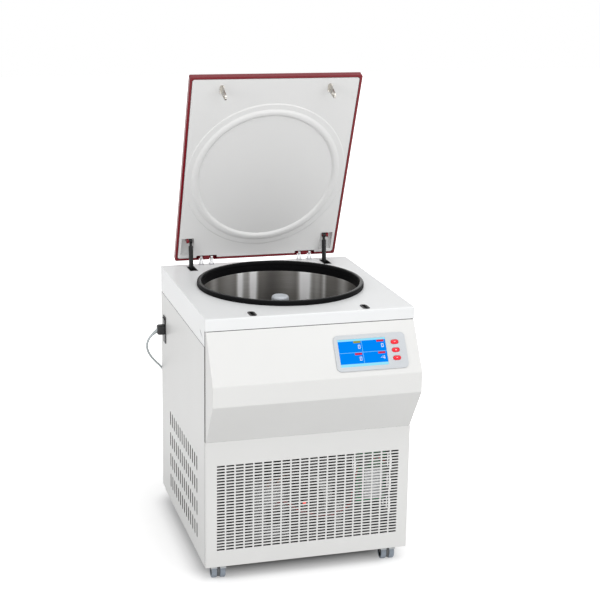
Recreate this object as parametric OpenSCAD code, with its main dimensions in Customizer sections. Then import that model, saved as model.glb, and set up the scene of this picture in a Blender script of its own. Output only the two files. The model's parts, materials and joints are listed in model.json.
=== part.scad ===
// Floor-standing refrigerated centrifuge on castors, stored with its lid open.
// Units are millimetres, +Z is up and the operator stands on the -Y side.
// The origin is on the floor under the middle of the cabinet's outline.

/* [Cabinet] */
// Width over the side panels
cabinet_width = 650; // [646:1:660]
// Height of the top cover above the floor
cabinet_height = 842; // [810:1:870]
// Forward reach of the sloped fascia
fascia_reach = 91; // [70:1:110]
// Front ventilation slot length
grille_slot_length = 24; // [12:0.5:26]
// Front ventilation slot height
grille_slot_height = 4.6; // [2:0.1:6]

/* [Chamber] */
// Inside radius of the steel bowl
bowl_radius = 250; // [244:0.5:250]
// Wall thickness of the bowl
bowl_wall = 1.5; // [1:0.1:1.5]
// Wall thickness of the armour ring
armour_wall = 7; // [4:0.5:10]

/* [Lid] */
// Opening angle of the lid at rest
lid_open = 68; // [60:0.5:75]
// Width of the lid
lid_width = 560; // [552:1:570]
// Outer thickness of the lid
lid_thickness = 20; // [20:0.5:24]
// Reach of the lid hooks below the lid
hook_reach = 59.6; // [58.6:0.5:60.6]

/* [Rotor] */
// Radius at which the plate carriers hang
carrier_pin_radius = 132; // [126:0.5:134]
// Depth of a plate carrier below its pins
carrier_depth = 80; // [60:1:84]
// Radius of the domed hub cap
hub_cap_radius = 28; // [20:0.5:30]

/* [Castors] */
// Radius of a castor wheel
wheel_radius = 25; // [23:0.5:25]
// Width of one of the twin wheels
wheel_width = 17; // [12:0.5:18]

/* [Output] */
// Which part to draw

/* [Hidden] */
$fn = 64;
gap = 0.05;
sheet = 2;
seam = 1.5;
half_w = cabinet_width / 2;
front_y = -297;
rear_y = 388;
top_z = cabinet_height;
skirt_z = top_z - 86;
brow_z = top_z - 37;
foot_z = 53;
pan_z = 62;
pan_top = 65;
deck_z = 404;
deck_top = 410;
ring_deck_z = top_z - 26;
ring_deck_top = top_z - 20;
side_front = front_y + 12;
side_rear = rear_y - 45;
chamber_y = 57;

// Post centres at the four corners
post = 30;
post_x = half_w - 20;
post_front = -275;
post_rear = 365;

// Sloped control face: angle from horizontal and the frame it carries
slope_drop = 141;
nose_z = brow_z - slope_drop;
chin_z = nose_z - 68;
tuck_z = 460;
slope_angle = atan2(slope_drop, fascia_reach);
under_angle = atan2(fascia_reach, chin_z - tuck_z);

// Chamber
bowl_rim_z = ring_deck_top + 2;
bowl_floor_z = top_z - 252;
insulation_z = bowl_floor_z - 30;
motor_foot_z = deck_top + 20;
seal_outer = 266.8;
seal_top = top_z + 16;
neck_radius = 60.5;
shaft_radius = 12;

// Lid frame: local y runs from the hinge edge to the front, local z outward
hinge_y = 375;
hinge_z = top_z + 24.2;
lid_back_y = 382;
lid_rim_z = top_z + 19;
lid_length = 690;
lid_half = lid_width / 2;
liner_inset = 8;
liner_depth = 6;
lid_ring_y = chamber_y - lid_back_y;
knuckle_x = 172;
post_gap = 18;
latch_x = 176;
latch_y = -265;
latch_bolt_z = top_z - 25;

// Gas springs, from the lid pin down to the bracket pin
strut_x = 232;
strut_lid_y = -79;
strut_lid_z = 0;
strut_low_y = 308;
strut_low_z = top_z - 282;
strut_top_y = hinge_y + (lid_back_y + strut_lid_y - hinge_y) * cos(lid_open)
    + (lid_rim_z + strut_lid_z - hinge_z) * sin(lid_open);
strut_top_z = hinge_z - (lid_back_y + strut_lid_y - hinge_y) * sin(lid_open)
    + (lid_rim_z + strut_lid_z - hinge_z) * cos(lid_open);
strut_length = norm([strut_top_y - strut_low_y, strut_top_z - strut_low_z]);
strut_lean = atan2(strut_top_y - strut_low_y, strut_top_z - strut_low_z);
strut_pin = 4;
strut_tube_end = 215;

// Rotor
pin_z = top_z - 140;
pin_radius = 6;
hub_foot_z = pin_z - 62;
hub_top_z = pin_z + 46;
cap_top_z = top_z - 36;
plate_half_x = 46;
plate_half_y = 65.5;
carrier_wall = 5;
yoke_bar_y = 88;

// Castors: where they swivel and how far the wheels trail
castor_x = 276;
castor_front = -234;
castor_rear = 333;
castor_trail = 19;
castor_turn = -94;

// Refrigeration bay
fan_x = 62;
fan_y = -134;
fan_z = 185;

// Mains inlet on the left side
inlet_y = 324;
inlet_z = 637.5;
socket_y = 320;
socket_z = 638.5;
rocker_z = 670;
rocker_pin_x = 1.2;

// Mains cord: its route to the floor, then a coil of two columns and three layers
cord_radius = 4;
relief_tilt = 40;
cord_sides = 10;
coil_x = -half_w + 135;
coil_y = 447;
coil_columns = 2;
coil_layers = 3;
coil_inner = 31;
plug_y = coil_y + coil_inner + 3 * cord_radius;
plug_x = coil_x + 17;
plug_z = 19;
cord_route = [
    [-half_w - 44.6, 320, 622.2],
    [-half_w - 53.6, 321, 611.2],
    [-half_w - 59.4, 323.5, 597.2],
    [-half_w - 60.8, 328.5, 582.5],
    [-half_w - 56.5, 339, 563],
    [-half_w - 44.5, 354.5, 539],
    [-half_w - 25.5, 374, 513],
    [-half_w - 2, 391.5, 485],
    [-half_w + 20, 401, 452],
    [-half_w + 39, 404.5, 411],
    [-half_w + 56.5, 405, 355],
    [-half_w + 70, 405, 280],
    [-half_w + 80, 404.5, 205],
    [-half_w + 88, 404, 135],
    [-half_w + 91, 403.7, 95],
    [-half_w + 92, 403.4, 66],
    [-half_w + 92, 404.6, 43.5],
    [-half_w + 92, 411.5, 24.2],
    [-half_w + 92, 422.5, 11.8],
    [-half_w + 92, 434.8, 5]
];

// Shared shapes

// A box given by its low and high corners
module span(low, high) {
    translate(low)
        cube(high - low);
}

// The same piece on the left and on the right
module both_sides() {
    children();
    mirror([1, 0, 0])
        children();
}

// Flat outline with rounded corners, centred
module round_rect(w, h, r) {
    translate([-w / 2 + r, -h / 2])
        square([w - 2 * r, h]);
    translate([-w / 2, -h / 2 + r])
        square([w, h - 2 * r]);
    for (x = [-1, 1], y = [-1, 1])
        translate([x * (w / 2 - r), y * (h / 2 - r)])
            circle(r = r);
}

// Stadium outline, long way along y
module stadium(w, h) {
    square([w, h - w], center = true);
    translate([0, (h - w) / 2])
        circle(d = w);
    translate([0, -(h - w) / 2])
        circle(d = w);
}

// Rod along x from x0 to x1
module rod_x(x0, x1, r) {
    translate([x0, 0, 0])
        rotate([0, 90, 0])
            cylinder(r = r, h = x1 - x0);
}

// Rod along y from y0 to y1
module rod_y(y0, y1, r) {
    translate([0, y0, 0])
        rotate([-90, 0, 0])
            cylinder(r = r, h = y1 - y0);
}

// Points of a quarter bend between two straight runs
function bend(cx, cy, r, a0, a1, n) =
    [for (i = [0 : n]) [cx + r * cos(a0 + (a1 - a0) * i / n), cy + r * sin(a0 + (a1 - a0) * i / n)]];

// Frame and decks

module base_pan() {
    color([0.72, 0.73, 0.74])
        difference() {
            span([-half_w + sheet, front_y + sheet, pan_z], [half_w - sheet, rear_y - 4, pan_top + 22]);
            span([-half_w + 2 * sheet, front_y + 2 * sheet, pan_top],
                [half_w - 2 * sheet, rear_y - 4 - sheet, pan_top + 23]);
        }
}

module post_at(x, y, z0, z1) {
    translate([x, y, z0])
        linear_extrude(z1 - z0)
            difference() {
                square(post, center = true);
                square(post - 4, center = true);
            }
}

module frame_posts() {
    color([0.55, 0.56, 0.58])
        for (x = [-post_x, post_x], y = [post_front, post_rear]) {
            post_at(x, y, pan_top, deck_z);
            post_at(x, y, deck_top, ring_deck_z);
        }
}

module motor_deck() {
    color([0.62, 0.63, 0.65]) {
        span([-half_w + sheet, front_y + sheet, deck_z], [half_w - sheet, rear_y - 4, deck_top]);
        for (x = [185, 245])
            span([x, -226.4, 340], [x + 12, -224.4, deck_z + 1]);
    }
}

module chamber_deck() {
    color([0.62, 0.63, 0.65])
        difference() {
            span([-half_w + sheet, front_y + sheet, ring_deck_z], [half_w - sheet, rear_y - 4, ring_deck_top]);
            translate([0, chamber_y, ring_deck_z - 1])
                cylinder(r = bowl_radius + 4, h = 8);
            both_sides() {
                span([strut_x - 13, 288, ring_deck_z - 1], [strut_x + 13, 352, ring_deck_top + 1]);
                span([latch_x - 54, latch_y - 24, ring_deck_z - 1],
                    [latch_x + 15, latch_y + 24, ring_deck_top + 1]);
            }
        }
}

// Cabinet skins

grille_pitch_x = 29.2;
grille_pitch_z = 9.68;
grille_columns = 20;
grille_rows = 29;

module front_grille() {
    color([0.88, 0.88, 0.87])
        translate([0, front_y + sheet, 0])
            rotate([90, 0, 0])
                linear_extrude(sheet)
                    difference() {
                        translate([-half_w + sheet, foot_z])
                            square([cabinet_width - 2 * sheet, tuck_z - foot_z]);
                        for (i = [0 : grille_columns - 1], j = [0 : grille_rows - 1])
                            translate([(i - (grille_columns - 1) / 2) * grille_pitch_x, 109.5 + j * grille_pitch_z])
                                square([grille_slot_length, grille_slot_height], center = true);
                    }
}

// Side outline of the fascia, drawn as (y, z), with small bends at the nose
nose_bend = 9;

function fascia_outline(inset) = concat(
    [
        [front_y + inset, tuck_z], [side_front, tuck_z], [side_front, brow_z - seam],
        [front_y + inset * 0.6 - seam * fascia_reach / slope_drop, brow_z - seam]
    ],
    bend(front_y - fascia_reach + nose_bend, nose_z - 4, nose_bend - inset, 180 - (90 - slope_angle), 180, 4),
    bend(front_y - fascia_reach + nose_bend, chin_z + 6, nose_bend - inset, 180, 180 + under_angle, 4)
);

module fascia_solid(inset, w) {
    translate([-w, 0, 0])
        rotate([90, 0, 90])
            linear_extrude(2 * w)
                polygon(fascia_outline(inset));
}

module slope_frame() {
    translate([0, front_y, brow_z])
        rotate([slope_angle, 0, 0])
            children();
}

display_x = 170;
display_y = -95.5;
display_w = 226;
display_h = 112;

module fascia() {
    color([0.88, 0.88, 0.87])
        difference() {
            fascia_solid(0, half_w - sheet);
            difference() {
                fascia_solid(sheet, half_w - 2 * sheet);
                span([-half_w, front_y - 20, tuck_z - 1], [half_w, front_y + sheet, tuck_z + sheet]);
            }
            span([-half_w + 2 * sheet, front_y + sheet, tuck_z - 1], [half_w - 2 * sheet, side_front + 1, brow_z + 1]);
            slope_frame()
                translate([display_x, display_y, -30])
                    linear_extrude(60)
                        round_rect(display_w - 12, display_h - 12, 10);
        }
}

side_slot_columns = 14;
side_slot_pitch = 32;

module side_panel() {
    rotate([90, 0, 90])
        linear_extrude(sheet)
            difference() {
                translate([side_front, foot_z])
                    square([side_rear - side_front, skirt_z - seam - foot_z]);
                for (i = [0 : side_slot_columns - 1], j = [0 : 3])
                    translate([-175 + i * side_slot_pitch, 127.5 + j * 74.3])
                        stadium(12, 49);
                children();
            }
}

module side_panel_left() {
    color([0.86, 0.86, 0.85])
        translate([-half_w, 0, 0])
            side_panel()
                translate([inlet_y, inlet_z])
                    square([31, 85], center = true);
}

module side_panel_right() {
    color([0.86, 0.86, 0.85])
        translate([half_w - sheet, 0, 0])
            side_panel();
}

module rear_cover() {
    color([0.84, 0.84, 0.83])
        difference() {
            span([-half_w, side_rear, foot_z + 6], [half_w, rear_y - sheet, skirt_z - seam]);
            span([-half_w + sheet, side_rear - 1, foot_z], [half_w - sheet, rear_y - 2 * sheet, skirt_z + 1]);
            for (i = [0 : 12], j = [0 : 2])
                translate([(i - 6) * 32, rear_y, 127.5 + j * 74.3])
                    rotate([90, 0, 0])
                        linear_extrude(10)
                            stadium(12, 49);
        }
}

cover_bend = 5;

function cover_outline(inset) = concat(
    [[rear_y - inset, skirt_z], [rear_y - inset, top_z - inset - cover_bend]],
    bend(rear_y - inset - cover_bend, top_z - inset - cover_bend, cover_bend, 0, 90, 4),
    bend(front_y + inset + cover_bend, top_z - inset - cover_bend, cover_bend, 90, 180, 4),
    [[front_y + inset, brow_z], [side_front, brow_z], [side_front, skirt_z]]
);

module cover_solid(inset, w) {
    translate([-w, 0, 0])
        rotate([90, 0, 90])
            linear_extrude(2 * w)
                polygon(cover_outline(inset));
}

module top_cover() {
    color([0.86, 0.87, 0.88])
        difference() {
            cover_solid(0, half_w);
            difference() {
                cover_solid(sheet, half_w - sheet);
                span([-half_w, front_y, skirt_z], [half_w, side_front + 0.5, brow_z + 1]);
            }
            span([-half_w + sheet, front_y + sheet, brow_z - 1], [half_w - sheet, rear_y - sheet, top_z - 8]);
            span([-half_w + sheet, side_front - 1, skirt_z - 1], [half_w - sheet, rear_y - sheet, brow_z]);
            translate([0, chamber_y, top_z - 10])
                cylinder(r = 258.5, h = 20);
            both_sides() {
                span([strut_x - 12, 290, top_z - 10], [strut_x + 12, 350, top_z + 1]);
                translate([latch_x, latch_y, top_z - 10])
                    linear_extrude(20)
                        stadium(18.6, 44.6);
            }
            translate([-half_w - 1, front_y + 42, skirt_z + 19])
                rotate([28, 0, 0])
                    cube([sheet + 2, 32, 4]);
        }
}

screw_z = [90, 400, 720];

module panel_screws() {
    color([0.75, 0.76, 0.78])
        for (x = [-300, 300], z = screw_z)
            translate([x, 0, z])
                rod_y(rear_y - sheet, rear_y, 5);
}

// Drive

module drive_motor() {
    color([0.30, 0.31, 0.33])
        translate([0, chamber_y, 0])
            difference() {
                union() {
                    translate([0, 0, motor_foot_z])
                        cylinder(r = 100, h = 10);
                    translate([0, 0, motor_foot_z + 9])
                        cylinder(r = 78, h = insulation_z - motor_foot_z - 10);
                    for (i = [0 : 6])
                        translate([0, 0, motor_foot_z + 22 + i * 14])
                            cylinder(r = 84, h = 5);
                    translate([0, 0, insulation_z - 2])
                        cylinder(r = neck_radius, h = 48);
                    translate([0, 0, insulation_z + 46])
                        cylinder(r1 = neck_radius, r2 = 26, h = 12);
                }
                translate([0, 0, motor_foot_z + 40])
                    cylinder(r = shaft_radius + gap, h = insulation_z - motor_foot_z + 40);
            }
}

module motor_mounts() {
    color([0.10, 0.10, 0.10])
        for (x = [-68, 68], y = [-68, 68])
            translate([x, chamber_y + y, deck_top])
                cylinder(r = 18, h = motor_foot_z - deck_top);
}

module armour_ring() {
    color([0.45, 0.46, 0.48])
        translate([0, chamber_y, 0])
            rotate_extrude()
                translate([285, bowl_floor_z + 10])
                    square([armour_wall, ring_deck_z - bowl_floor_z - 10]);
}

module bowl_insulation() {
    color([0.92, 0.86, 0.66])
        translate([0, chamber_y, 0])
            rotate_extrude()
                polygon([
                    [61.5, insulation_z], [284, insulation_z], [284, ring_deck_z], [252, ring_deck_z],
                    [252, bowl_floor_z - 2], [61.5, bowl_floor_z - 2]
                ]);
}

bowl_corner = 22;

module chamber_bowl() {
    color([0.75, 0.75, 0.75])
        translate([0, chamber_y, 0])
            rotate_extrude()
                polygon(concat(
                    [[61.5, bowl_floor_z - bowl_wall]],
                    bend(bowl_radius - bowl_corner, bowl_floor_z + bowl_corner, bowl_corner + bowl_wall, -90, 0, 8),
                    [
                        [bowl_radius + bowl_wall, ring_deck_top], [bowl_radius + 12, ring_deck_top],
                        [bowl_radius + 12, bowl_rim_z], [bowl_radius, bowl_rim_z]
                    ],
                    bend(bowl_radius - bowl_corner, bowl_floor_z + bowl_corner, bowl_corner, 0, -90, 8),
                    [[61.5, bowl_floor_z]]
                ));
}

module chamber_seal() {
    color([0.04, 0.04, 0.04])
        translate([0, chamber_y, 0])
            rotate_extrude()
                polygon([
                    [250.5, bowl_rim_z], [257.5, bowl_rim_z], [257.5, top_z], [seal_outer, top_z],
                    [seal_outer, seal_top - 7], [265.8, seal_top - 3.5], [263.5, seal_top - 1],
                    [260.5, seal_top], [257.5, seal_top],
                    [254.5, seal_top - 1], [252.2, seal_top - 3.5], [250.5, seal_top - 8]
                ]);
}

// Rotor

module drive_shaft() {
    color([0.70, 0.70, 0.72])
        translate([0, chamber_y, 0]) {
            translate([0, 0, motor_foot_z + 42])
                cylinder(r = shaft_radius, h = hub_top_z - motor_foot_z - 45);
            translate([0, 0, hub_foot_z - 16])
                cylinder(r = 20, h = 16);
        }
}

cap_round = 9;

module rotor_yoke() {
    color([0.80, 0.82, 0.86])
        translate([0, chamber_y, 0])
            difference() {
                union() {
                    translate([0, 0, hub_foot_z])
                        cylinder(r = 34, h = hub_top_z - hub_foot_z);
                    rotate_extrude()
                        polygon(concat(
                            [[0, hub_top_z - 1], [hub_cap_radius, hub_top_z - 1]],
                            bend(hub_cap_radius - cap_round, cap_top_z - cap_round, cap_round, 0, 90, 6),
                            [[0, cap_top_z]]
                        ));
                    for (s = [-1, 1]) {
                        translate([0, s * yoke_bar_y, pin_z - 3])
                            cube([2 * carrier_pin_radius + 40, 12, 30], center = true);
                        for (t = [-1, 1])
                            translate([t * carrier_pin_radius, 0, pin_z])
                                rod_y(min(s * 66.5, s * 84), max(s * 66.5, s * 84), pin_radius);
                    }
                    translate([0, 0, pin_z - 3])
                        cube([60, 2 * yoke_bar_y, 30], center = true);
                }
                translate([0, 0, hub_foot_z - 10])
                    cylinder(r = shaft_radius + gap, h = hub_top_z - hub_foot_z + 7.5);
            }
}

module plate_carrier(side) {
    outer_x = plate_half_x + carrier_wall - 1;
    outer_y = plate_half_y + carrier_wall;
    color([0.66, 0.68, 0.72])
        translate([side * carrier_pin_radius, chamber_y, pin_z])
            difference() {
                span([-outer_x, -outer_y, -carrier_depth], [outer_x, outer_y, 12]);
                span([-plate_half_x, -plate_half_y, -carrier_depth + 4], [plate_half_x, plate_half_y, 13]);
                rod_y(-90, 90, pin_radius + gap);
            }
}

module plate_carrier_left() {
    plate_carrier(-1);
}

module plate_carrier_right() {
    plate_carrier(1);
}

// Latches

module latch_sockets() {
    color([0.05, 0.05, 0.06])
        both_sides()
            translate([latch_x, latch_y, 0])
                difference() {
                    union() {
                        translate([0, 0, top_z])
                            linear_extrude(1.5)
                                stadium(22, 48);
                        translate([0, 0, top_z - 3])
                            linear_extrude(3)
                                stadium(18, 44);
                        span([-12, -22, latch_bolt_z - 27], [12, 22, top_z - 2.5]);
                        span([-50, -13, latch_bolt_z - 13], [-11, 13, latch_bolt_z + 13]);
                    }
                    translate([0, 0, latch_bolt_z - 21])
                        linear_extrude(60)
                            stadium(10, 38);
                    translate([0, 0, latch_bolt_z])
                        rod_x(-45, 11, 4 + gap);
                }
}

module latch_bolt(side) {
    color([0.62, 0.63, 0.65])
        translate([side * latch_x, latch_y, latch_bolt_z])
            rod_x(min(-side * 37, -side * 5.6), max(-side * 37, -side * 5.6), 4);
}

module latch_bolt_left() {
    latch_bolt(-1);
}

module latch_bolt_right() {
    latch_bolt(1);
}

// Lid hardware on the cabinet

module strut_trims() {
    color([0.04, 0.04, 0.04])
        both_sides()
            translate([strut_x, 320, 0])
                difference() {
                    union() {
                        span([-13, -31, top_z], [13, 31, top_z + 1.5]);
                        span([-11.9, -29.9, top_z - 12], [11.9, 29.9, top_z]);
                    }
                    span([-10.4, -28.5, top_z - 13], [10.4, 28.5, top_z + 3]);
                }
}

module strut_brackets() {
    color([0.50, 0.51, 0.53])
        both_sides()
            translate([strut_x, strut_low_y, 0])
                difference() {
                    union() {
                        span([-18, -34, deck_top], [18, 30, deck_top + 3]);
                        for (x = [-15, 12])
                            span([x, -34, deck_top + 2], [x + 3, 30, strut_low_z + 30]);
                    }
                    span([-20, -14.5, strut_low_z - 5.5], [20, 5.5, strut_low_z + 11.5]);
                }
}

module hinge_post(x) {
    translate([x, hinge_y, 0]) {
        span([-8, -9, top_z], [8, 9, top_z + 3]);
        difference() {
            translate([-4.5, 0, 0])
                rotate([90, 0, 90])
                    linear_extrude(9)
                        union() {
                            polygon([[-9, top_z + 2], [9, top_z + 2], [6, hinge_z], [-6, hinge_z]]);
                            translate([0, hinge_z])
                                circle(r = 6);
                        }
            translate([0, 0, hinge_z])
                rod_x(-10, 10, 4 + gap);
        }
    }
}

module hinge_posts() {
    color([0.70, 0.71, 0.72])
        both_sides() {
            hinge_post(knuckle_x - post_gap);
            hinge_post(knuckle_x + post_gap);
        }
}

// Lid, drawn closed and swung open about the hinge pins

module lid_pose() {
    translate([0, hinge_y, hinge_z])
        rotate([-lid_open, 0, 0])
            translate([0, lid_back_y - hinge_y, lid_rim_z - hinge_z])
                children();
}

module lid_plan(inset, r) {
    translate([0, -lid_length / 2])
        round_rect(lid_width - 2 * inset, lid_length - 2 * inset, r);
}

// A notch round each hinge in the liner and the rim
module hinge_notches() {
    both_sides()
        span([knuckle_x - 35, -17, -1], [knuckle_x + 35, -sheet, liner_depth + 1]);
}

// Slots in the lid's rear wall that clear the hinge posts
module post_slots() {
    both_sides()
        for (x = [knuckle_x - post_gap, knuckle_x + post_gap])
            span([x - 6.5, -20, -1], [x + 6.5, 1, 13]);
}

module lid_shell() {
    color([0.55, 0.05, 0.07])
        lid_pose()
            difference() {
                linear_extrude(lid_thickness)
                    lid_plan(0, 6);
                translate([0, 0, sheet])
                    linear_extrude(lid_thickness - 2 * sheet)
                        lid_plan(sheet, 4);
                translate([0, 0, -1])
                    linear_extrude(sheet + 2)
                        lid_plan(liner_inset, 8);
                hinge_notches();
                post_slots();
            }
}

// Raised ring of the liner, drawn as (radius, height): a shoulder that presses on
// the seal and a round bead that reaches down inside it
module liner_ring() {
    translate([0, lid_ring_y, 0])
        rotate_extrude()
            polygon([
                [224, 1], [225.5, -2], [228.5, -5.2], [232.5, -6.8], [237, -7.2], [241.5, -6.6],
                [245.3, -4.8], [248, -3.2], [250.5, -2.5], [264, -2.4], [266.6, -1.6], [268.5, 1]
            ]);
}

module lid_liner() {
    color([0.84, 0.84, 0.84])
        lid_pose()
            difference() {
                union() {
                    linear_extrude(liner_depth)
                        lid_plan(liner_inset + 1, 8);
                    both_sides()
                        span([strut_x - 12.5, -89.5, 0], [strut_x + 31.5, -18.5, 17.9]);
                    liner_ring();
                }
                both_sides()
                    span([strut_x - 11, -88, -1], [strut_x + 30, -20, 16.5]);
                hinge_notches();
            }
}

hook_eye_z = latch_bolt_z - lid_rim_z;

module lid_hooks() {
    color([0.72, 0.70, 0.66])
        lid_pose()
            both_sides()
                translate([latch_x, latch_y - lid_back_y, 0]) {
                    translate([0, 0, -2])
                        linear_extrude(2)
                            round_rect(14, 30, 6);
                    translate([-2.5, 0, 0])
                        rotate([90, 0, 90])
                            linear_extrude(5)
                                difference() {
                                    union() {
                                        polygon([
                                            [-12, -1], [12, -1], [9, -hook_reach + 9], [-9, -hook_reach + 9]
                                        ]);
                                        translate([0, -hook_reach + 9])
                                            circle(r = 9);
                                    }
                                    translate([0, hook_eye_z])
                                        stadium(10, 22);
                                }
                }
}

module lid_hinges() {
    color([0.60, 0.61, 0.63])
        lid_pose()
            both_sides() {
                translate([knuckle_x, hinge_y - lid_back_y, hinge_z - lid_rim_z])
                    rod_x(-26, 26, 4);
                span([knuckle_x - 9, -17, 0.6], [knuckle_x + 9, -2.5, 13]);
                span([knuckle_x - 9, -60, liner_depth], [knuckle_x + 9, -16, 14]);
                span([strut_x + 8, -86, 0], [strut_x + 14, -72, 16.5]);
                translate([strut_x, strut_lid_y, strut_lid_z])
                    rod_x(8, 14, 7);
                translate([strut_x, strut_lid_y, strut_lid_z])
                    rod_x(-6, 10, strut_pin);
            }
}

// Gas springs, drawn along local -z from the lid pin

module strut_pose(side) {
    translate([side * strut_x, strut_top_y, strut_top_z])
        rotate([-strut_lean, 0, 0])
            children();
}

module gas_tube(side) {
    color([0.06, 0.06, 0.07])
        strut_pose(side)
            difference() {
                union() {
                    rod_x(-5, 5, 8);
                    translate([0, 0, -20])
                        cylinder(r = 4.5, h = 14);
                    translate([0, 0, -strut_tube_end])
                        cylinder(r = 7.5, h = strut_tube_end - 16);
                }
                rod_x(-6, 6, strut_pin + gap);
                translate([0, 0, -strut_tube_end + 10])
                    cylinder(r = 6.3, h = 170);
                translate([0, 0, -strut_tube_end - 1])
                    cylinder(r = 4 + gap, h = 20);
            }
}

module gas_tube_left() {
    gas_tube(-1);
}

module gas_tube_right() {
    gas_tube(1);
}

module gas_rod(side) {
    color([0.78, 0.78, 0.80])
        strut_pose(side) {
            translate([0, 0, -strut_length + 6])
                cylinder(r = 4, h = strut_length - 126);
            translate([0, 0, -128])
                cylinder(r = 6.2, h = 8);
            translate([0, 0, -strut_length]) {
                rod_x(-5, 5, 8);
                rod_x(-17, 17, strut_pin);
            }
        }
}

module gas_rod_left() {
    gas_rod(-1);
}

module gas_rod_right() {
    gas_rod(1);
}

// Control face

screen_x = 145;
screen_y = -95.25;
button_x = 248.5;
button_ys = [-69.7, -94.8, -119.8];
button_w = 25;
button_h = 14;

module button_outline(extra) {
    rotate(90)
        stadium(button_h + extra, button_w + extra);
}

module display_bezel() {
    color([0.78, 0.80, 0.82])
        slope_frame()
            difference() {
                union() {
                    translate([display_x, display_y, 0])
                        linear_extrude(3)
                            round_rect(display_w, display_h, 15);
                    translate([display_x, display_y, -14])
                        linear_extrude(15)
                            round_rect(display_w - 14, display_h - 14, 9);
                }
                translate([screen_x, screen_y, -1])
                    linear_extrude(10)
                        square([150, 85.5], center = true);
                for (y = button_ys)
                    translate([button_x, y, -10])
                        linear_extrude(20)
                            button_outline(0.6);
            }
}

module display_screen() {
    color([0.05, 0.50, 0.95])
        slope_frame()
            translate([screen_x, screen_y, -1])
                linear_extrude(2)
                    square([150, 85.5], center = true);
}

module key(i) {
    color([0.85, 0.06, 0.10])
        slope_frame()
            translate([button_x, button_ys[i], -7])
                linear_extrude(11.5)
                    button_outline(0);
}

module button_1() {
    key(0);
}

module button_2() {
    key(1);
}

module button_3() {
    key(2);
}

// Machine bay

module control_board() {
    color([0.05, 0.42, 0.20]) {
        span([177, -228, 187], [272, -226.4, 359]);
        span([197, -250, 208], [257, -228, 309]);
        for (z = [316, 336])
            span([182, -242, z], [206, -228, z + 14]);
        for (x = [224, 248])
            translate([x, 0, 342])
                rod_y(-252, -228, 8);
    }
}

compressor_x = -84;
compressor_y = -130;

module compressor() {
    color([0.70, 0.71, 0.72])
        translate([compressor_x, compressor_y, 0]) {
            rotate_extrude()
                polygon([
                    [0, 88], [40, 88], [52, 98], [55, 110], [55, 150], [57, 152], [57, 158], [55, 160],
                    [55, 226], [52, 240], [42, 250], [24, 256], [0, 258]
                ]);
            span([-60, -60, 84], [60, 60, 89]);
            for (x = [-50, 50], y = [-50, 50])
                translate([x, y, pan_top])
                    cylinder(r = 9, h = 20);
            span([-22, -72, 130], [22, -50, 176]);
        }
}

module condenser() {
    color([0.66, 0.67, 0.68])
        difference() {
            span([fan_x - 76, -118, pan_top], [fan_x + 76, -62, 275]);
            for (i = [0 : 21])
                span([fan_x - 70 + i * 6.4, -119, 106], [fan_x - 66.6 + i * 6.4, -61, 266]);
        }
}

module fan_shroud() {
    color([0.88, 0.88, 0.88])
        translate([fan_x, 0, fan_z])
            difference() {
                union() {
                    rod_y(-148, -118, 84);
                    span([-76, -120, fan_z - 270], [76, -118, 80]);
                    span([-30, -140, pan_top - fan_z], [30, -120, -70]);
                    span([72, -146, pan_top - fan_z], [96, -119, -20]);
                }
                rod_y(-149, -123, 70);
                difference() {
                    rod_y(-124, -117, 66);
                    span([-4, -123, -70], [4, -117, 70]);
                    span([-70, -123, -4], [70, -117, 4]);
                    rod_y(-123, -117, 14);
                }
                rod_y(-149, -116, 3 + gap);
            }
}

module fan() {
    color([0.12, 0.12, 0.13])
        translate([fan_x, 0, fan_z]) {
            rod_y(-144, -125, 18);
            rod_y(-126, -119, 3);
            for (a = [0 : 60 : 300])
                rotate([0, a, 0])
                    translate([0, fan_y, 0])
                        rotate([0, 0, 32])
                            span([-12, -0.8, 14], [12, 0.8, 65]);
        }
}

// Castors

module castor_pose(i) {
    x = i % 2 == 0 ? -castor_x : castor_x;
    y = i < 2 ? castor_front : castor_rear;
    translate([x, y, 0])
        rotate([0, 0, castor_turn])
            children();
}

module castor_plates() {
    color([0.74, 0.75, 0.76])
        for (x = [-castor_x, castor_x], y = [castor_front, castor_rear])
            translate([x, y, 0]) {
                translate([0, 0, pan_z - 3])
                    linear_extrude(3)
                        round_rect(44, 44, 6);
                translate([0, 0, 51.5])
                    cylinder(r = 5, h = 9);
            }
}

module castor_fork(i) {
    color([0.80, 0.82, 0.84])
        castor_pose(i)
            difference() {
                union() {
                    translate([castor_trail, 0, wheel_radius]) {
                        rod_y(-4, 4, 22);
                        difference() {
                            rod_y(-23.5, 23.5, wheel_radius + 2.6);
                            rod_y(-24, -4.2, wheel_radius + 1);
                            rod_y(4.2, 24, wheel_radius + 1);
                            rod_y(-24, 24, 21);
                            span([-40, -30, -40], [40, 30, 4]);
                            rotate([0, -28, 0])
                                span([-40, -30, -40], [60, 30, 0]);
                        }
                    }
                    translate([0, 0, 49.5])
                        cylinder(r = 12, h = 7.5);
                }
                translate([0, 0, 45])
                    cylinder(r = 5 + gap, h = 20);
                translate([castor_trail, 0, wheel_radius])
                    rod_y(-10, 10, 4 + gap);
            }
}

module castor_wheels(i) {
    color([0.55, 0.60, 0.68])
        castor_pose(i)
            translate([castor_trail, 0, wheel_radius]) {
                for (s = [0, 180])
                    rotate([0, 0, s])
                        rotate([-90, 0, 0])
                            rotate_extrude()
                                polygon([
                                    [0, 5], [wheel_radius - 2, 5], [wheel_radius, 7],
                                    [wheel_radius, 5 + wheel_width - 3], [wheel_radius - 3, 5 + wheel_width],
                                    [14, 5 + wheel_width], [12, 3 + wheel_width], [0, 3 + wheel_width]
                                ]);
                rod_y(-8, 8, 4);
            }
}

module castor_fork_1() {
    castor_fork(0);
}

module castor_fork_2() {
    castor_fork(1);
}

module castor_fork_3() {
    castor_fork(2);
}

module castor_fork_4() {
    castor_fork(3);
}

module castor_wheels_1() {
    castor_wheels(0);
}

module castor_wheels_2() {
    castor_wheels(1);
}

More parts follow.
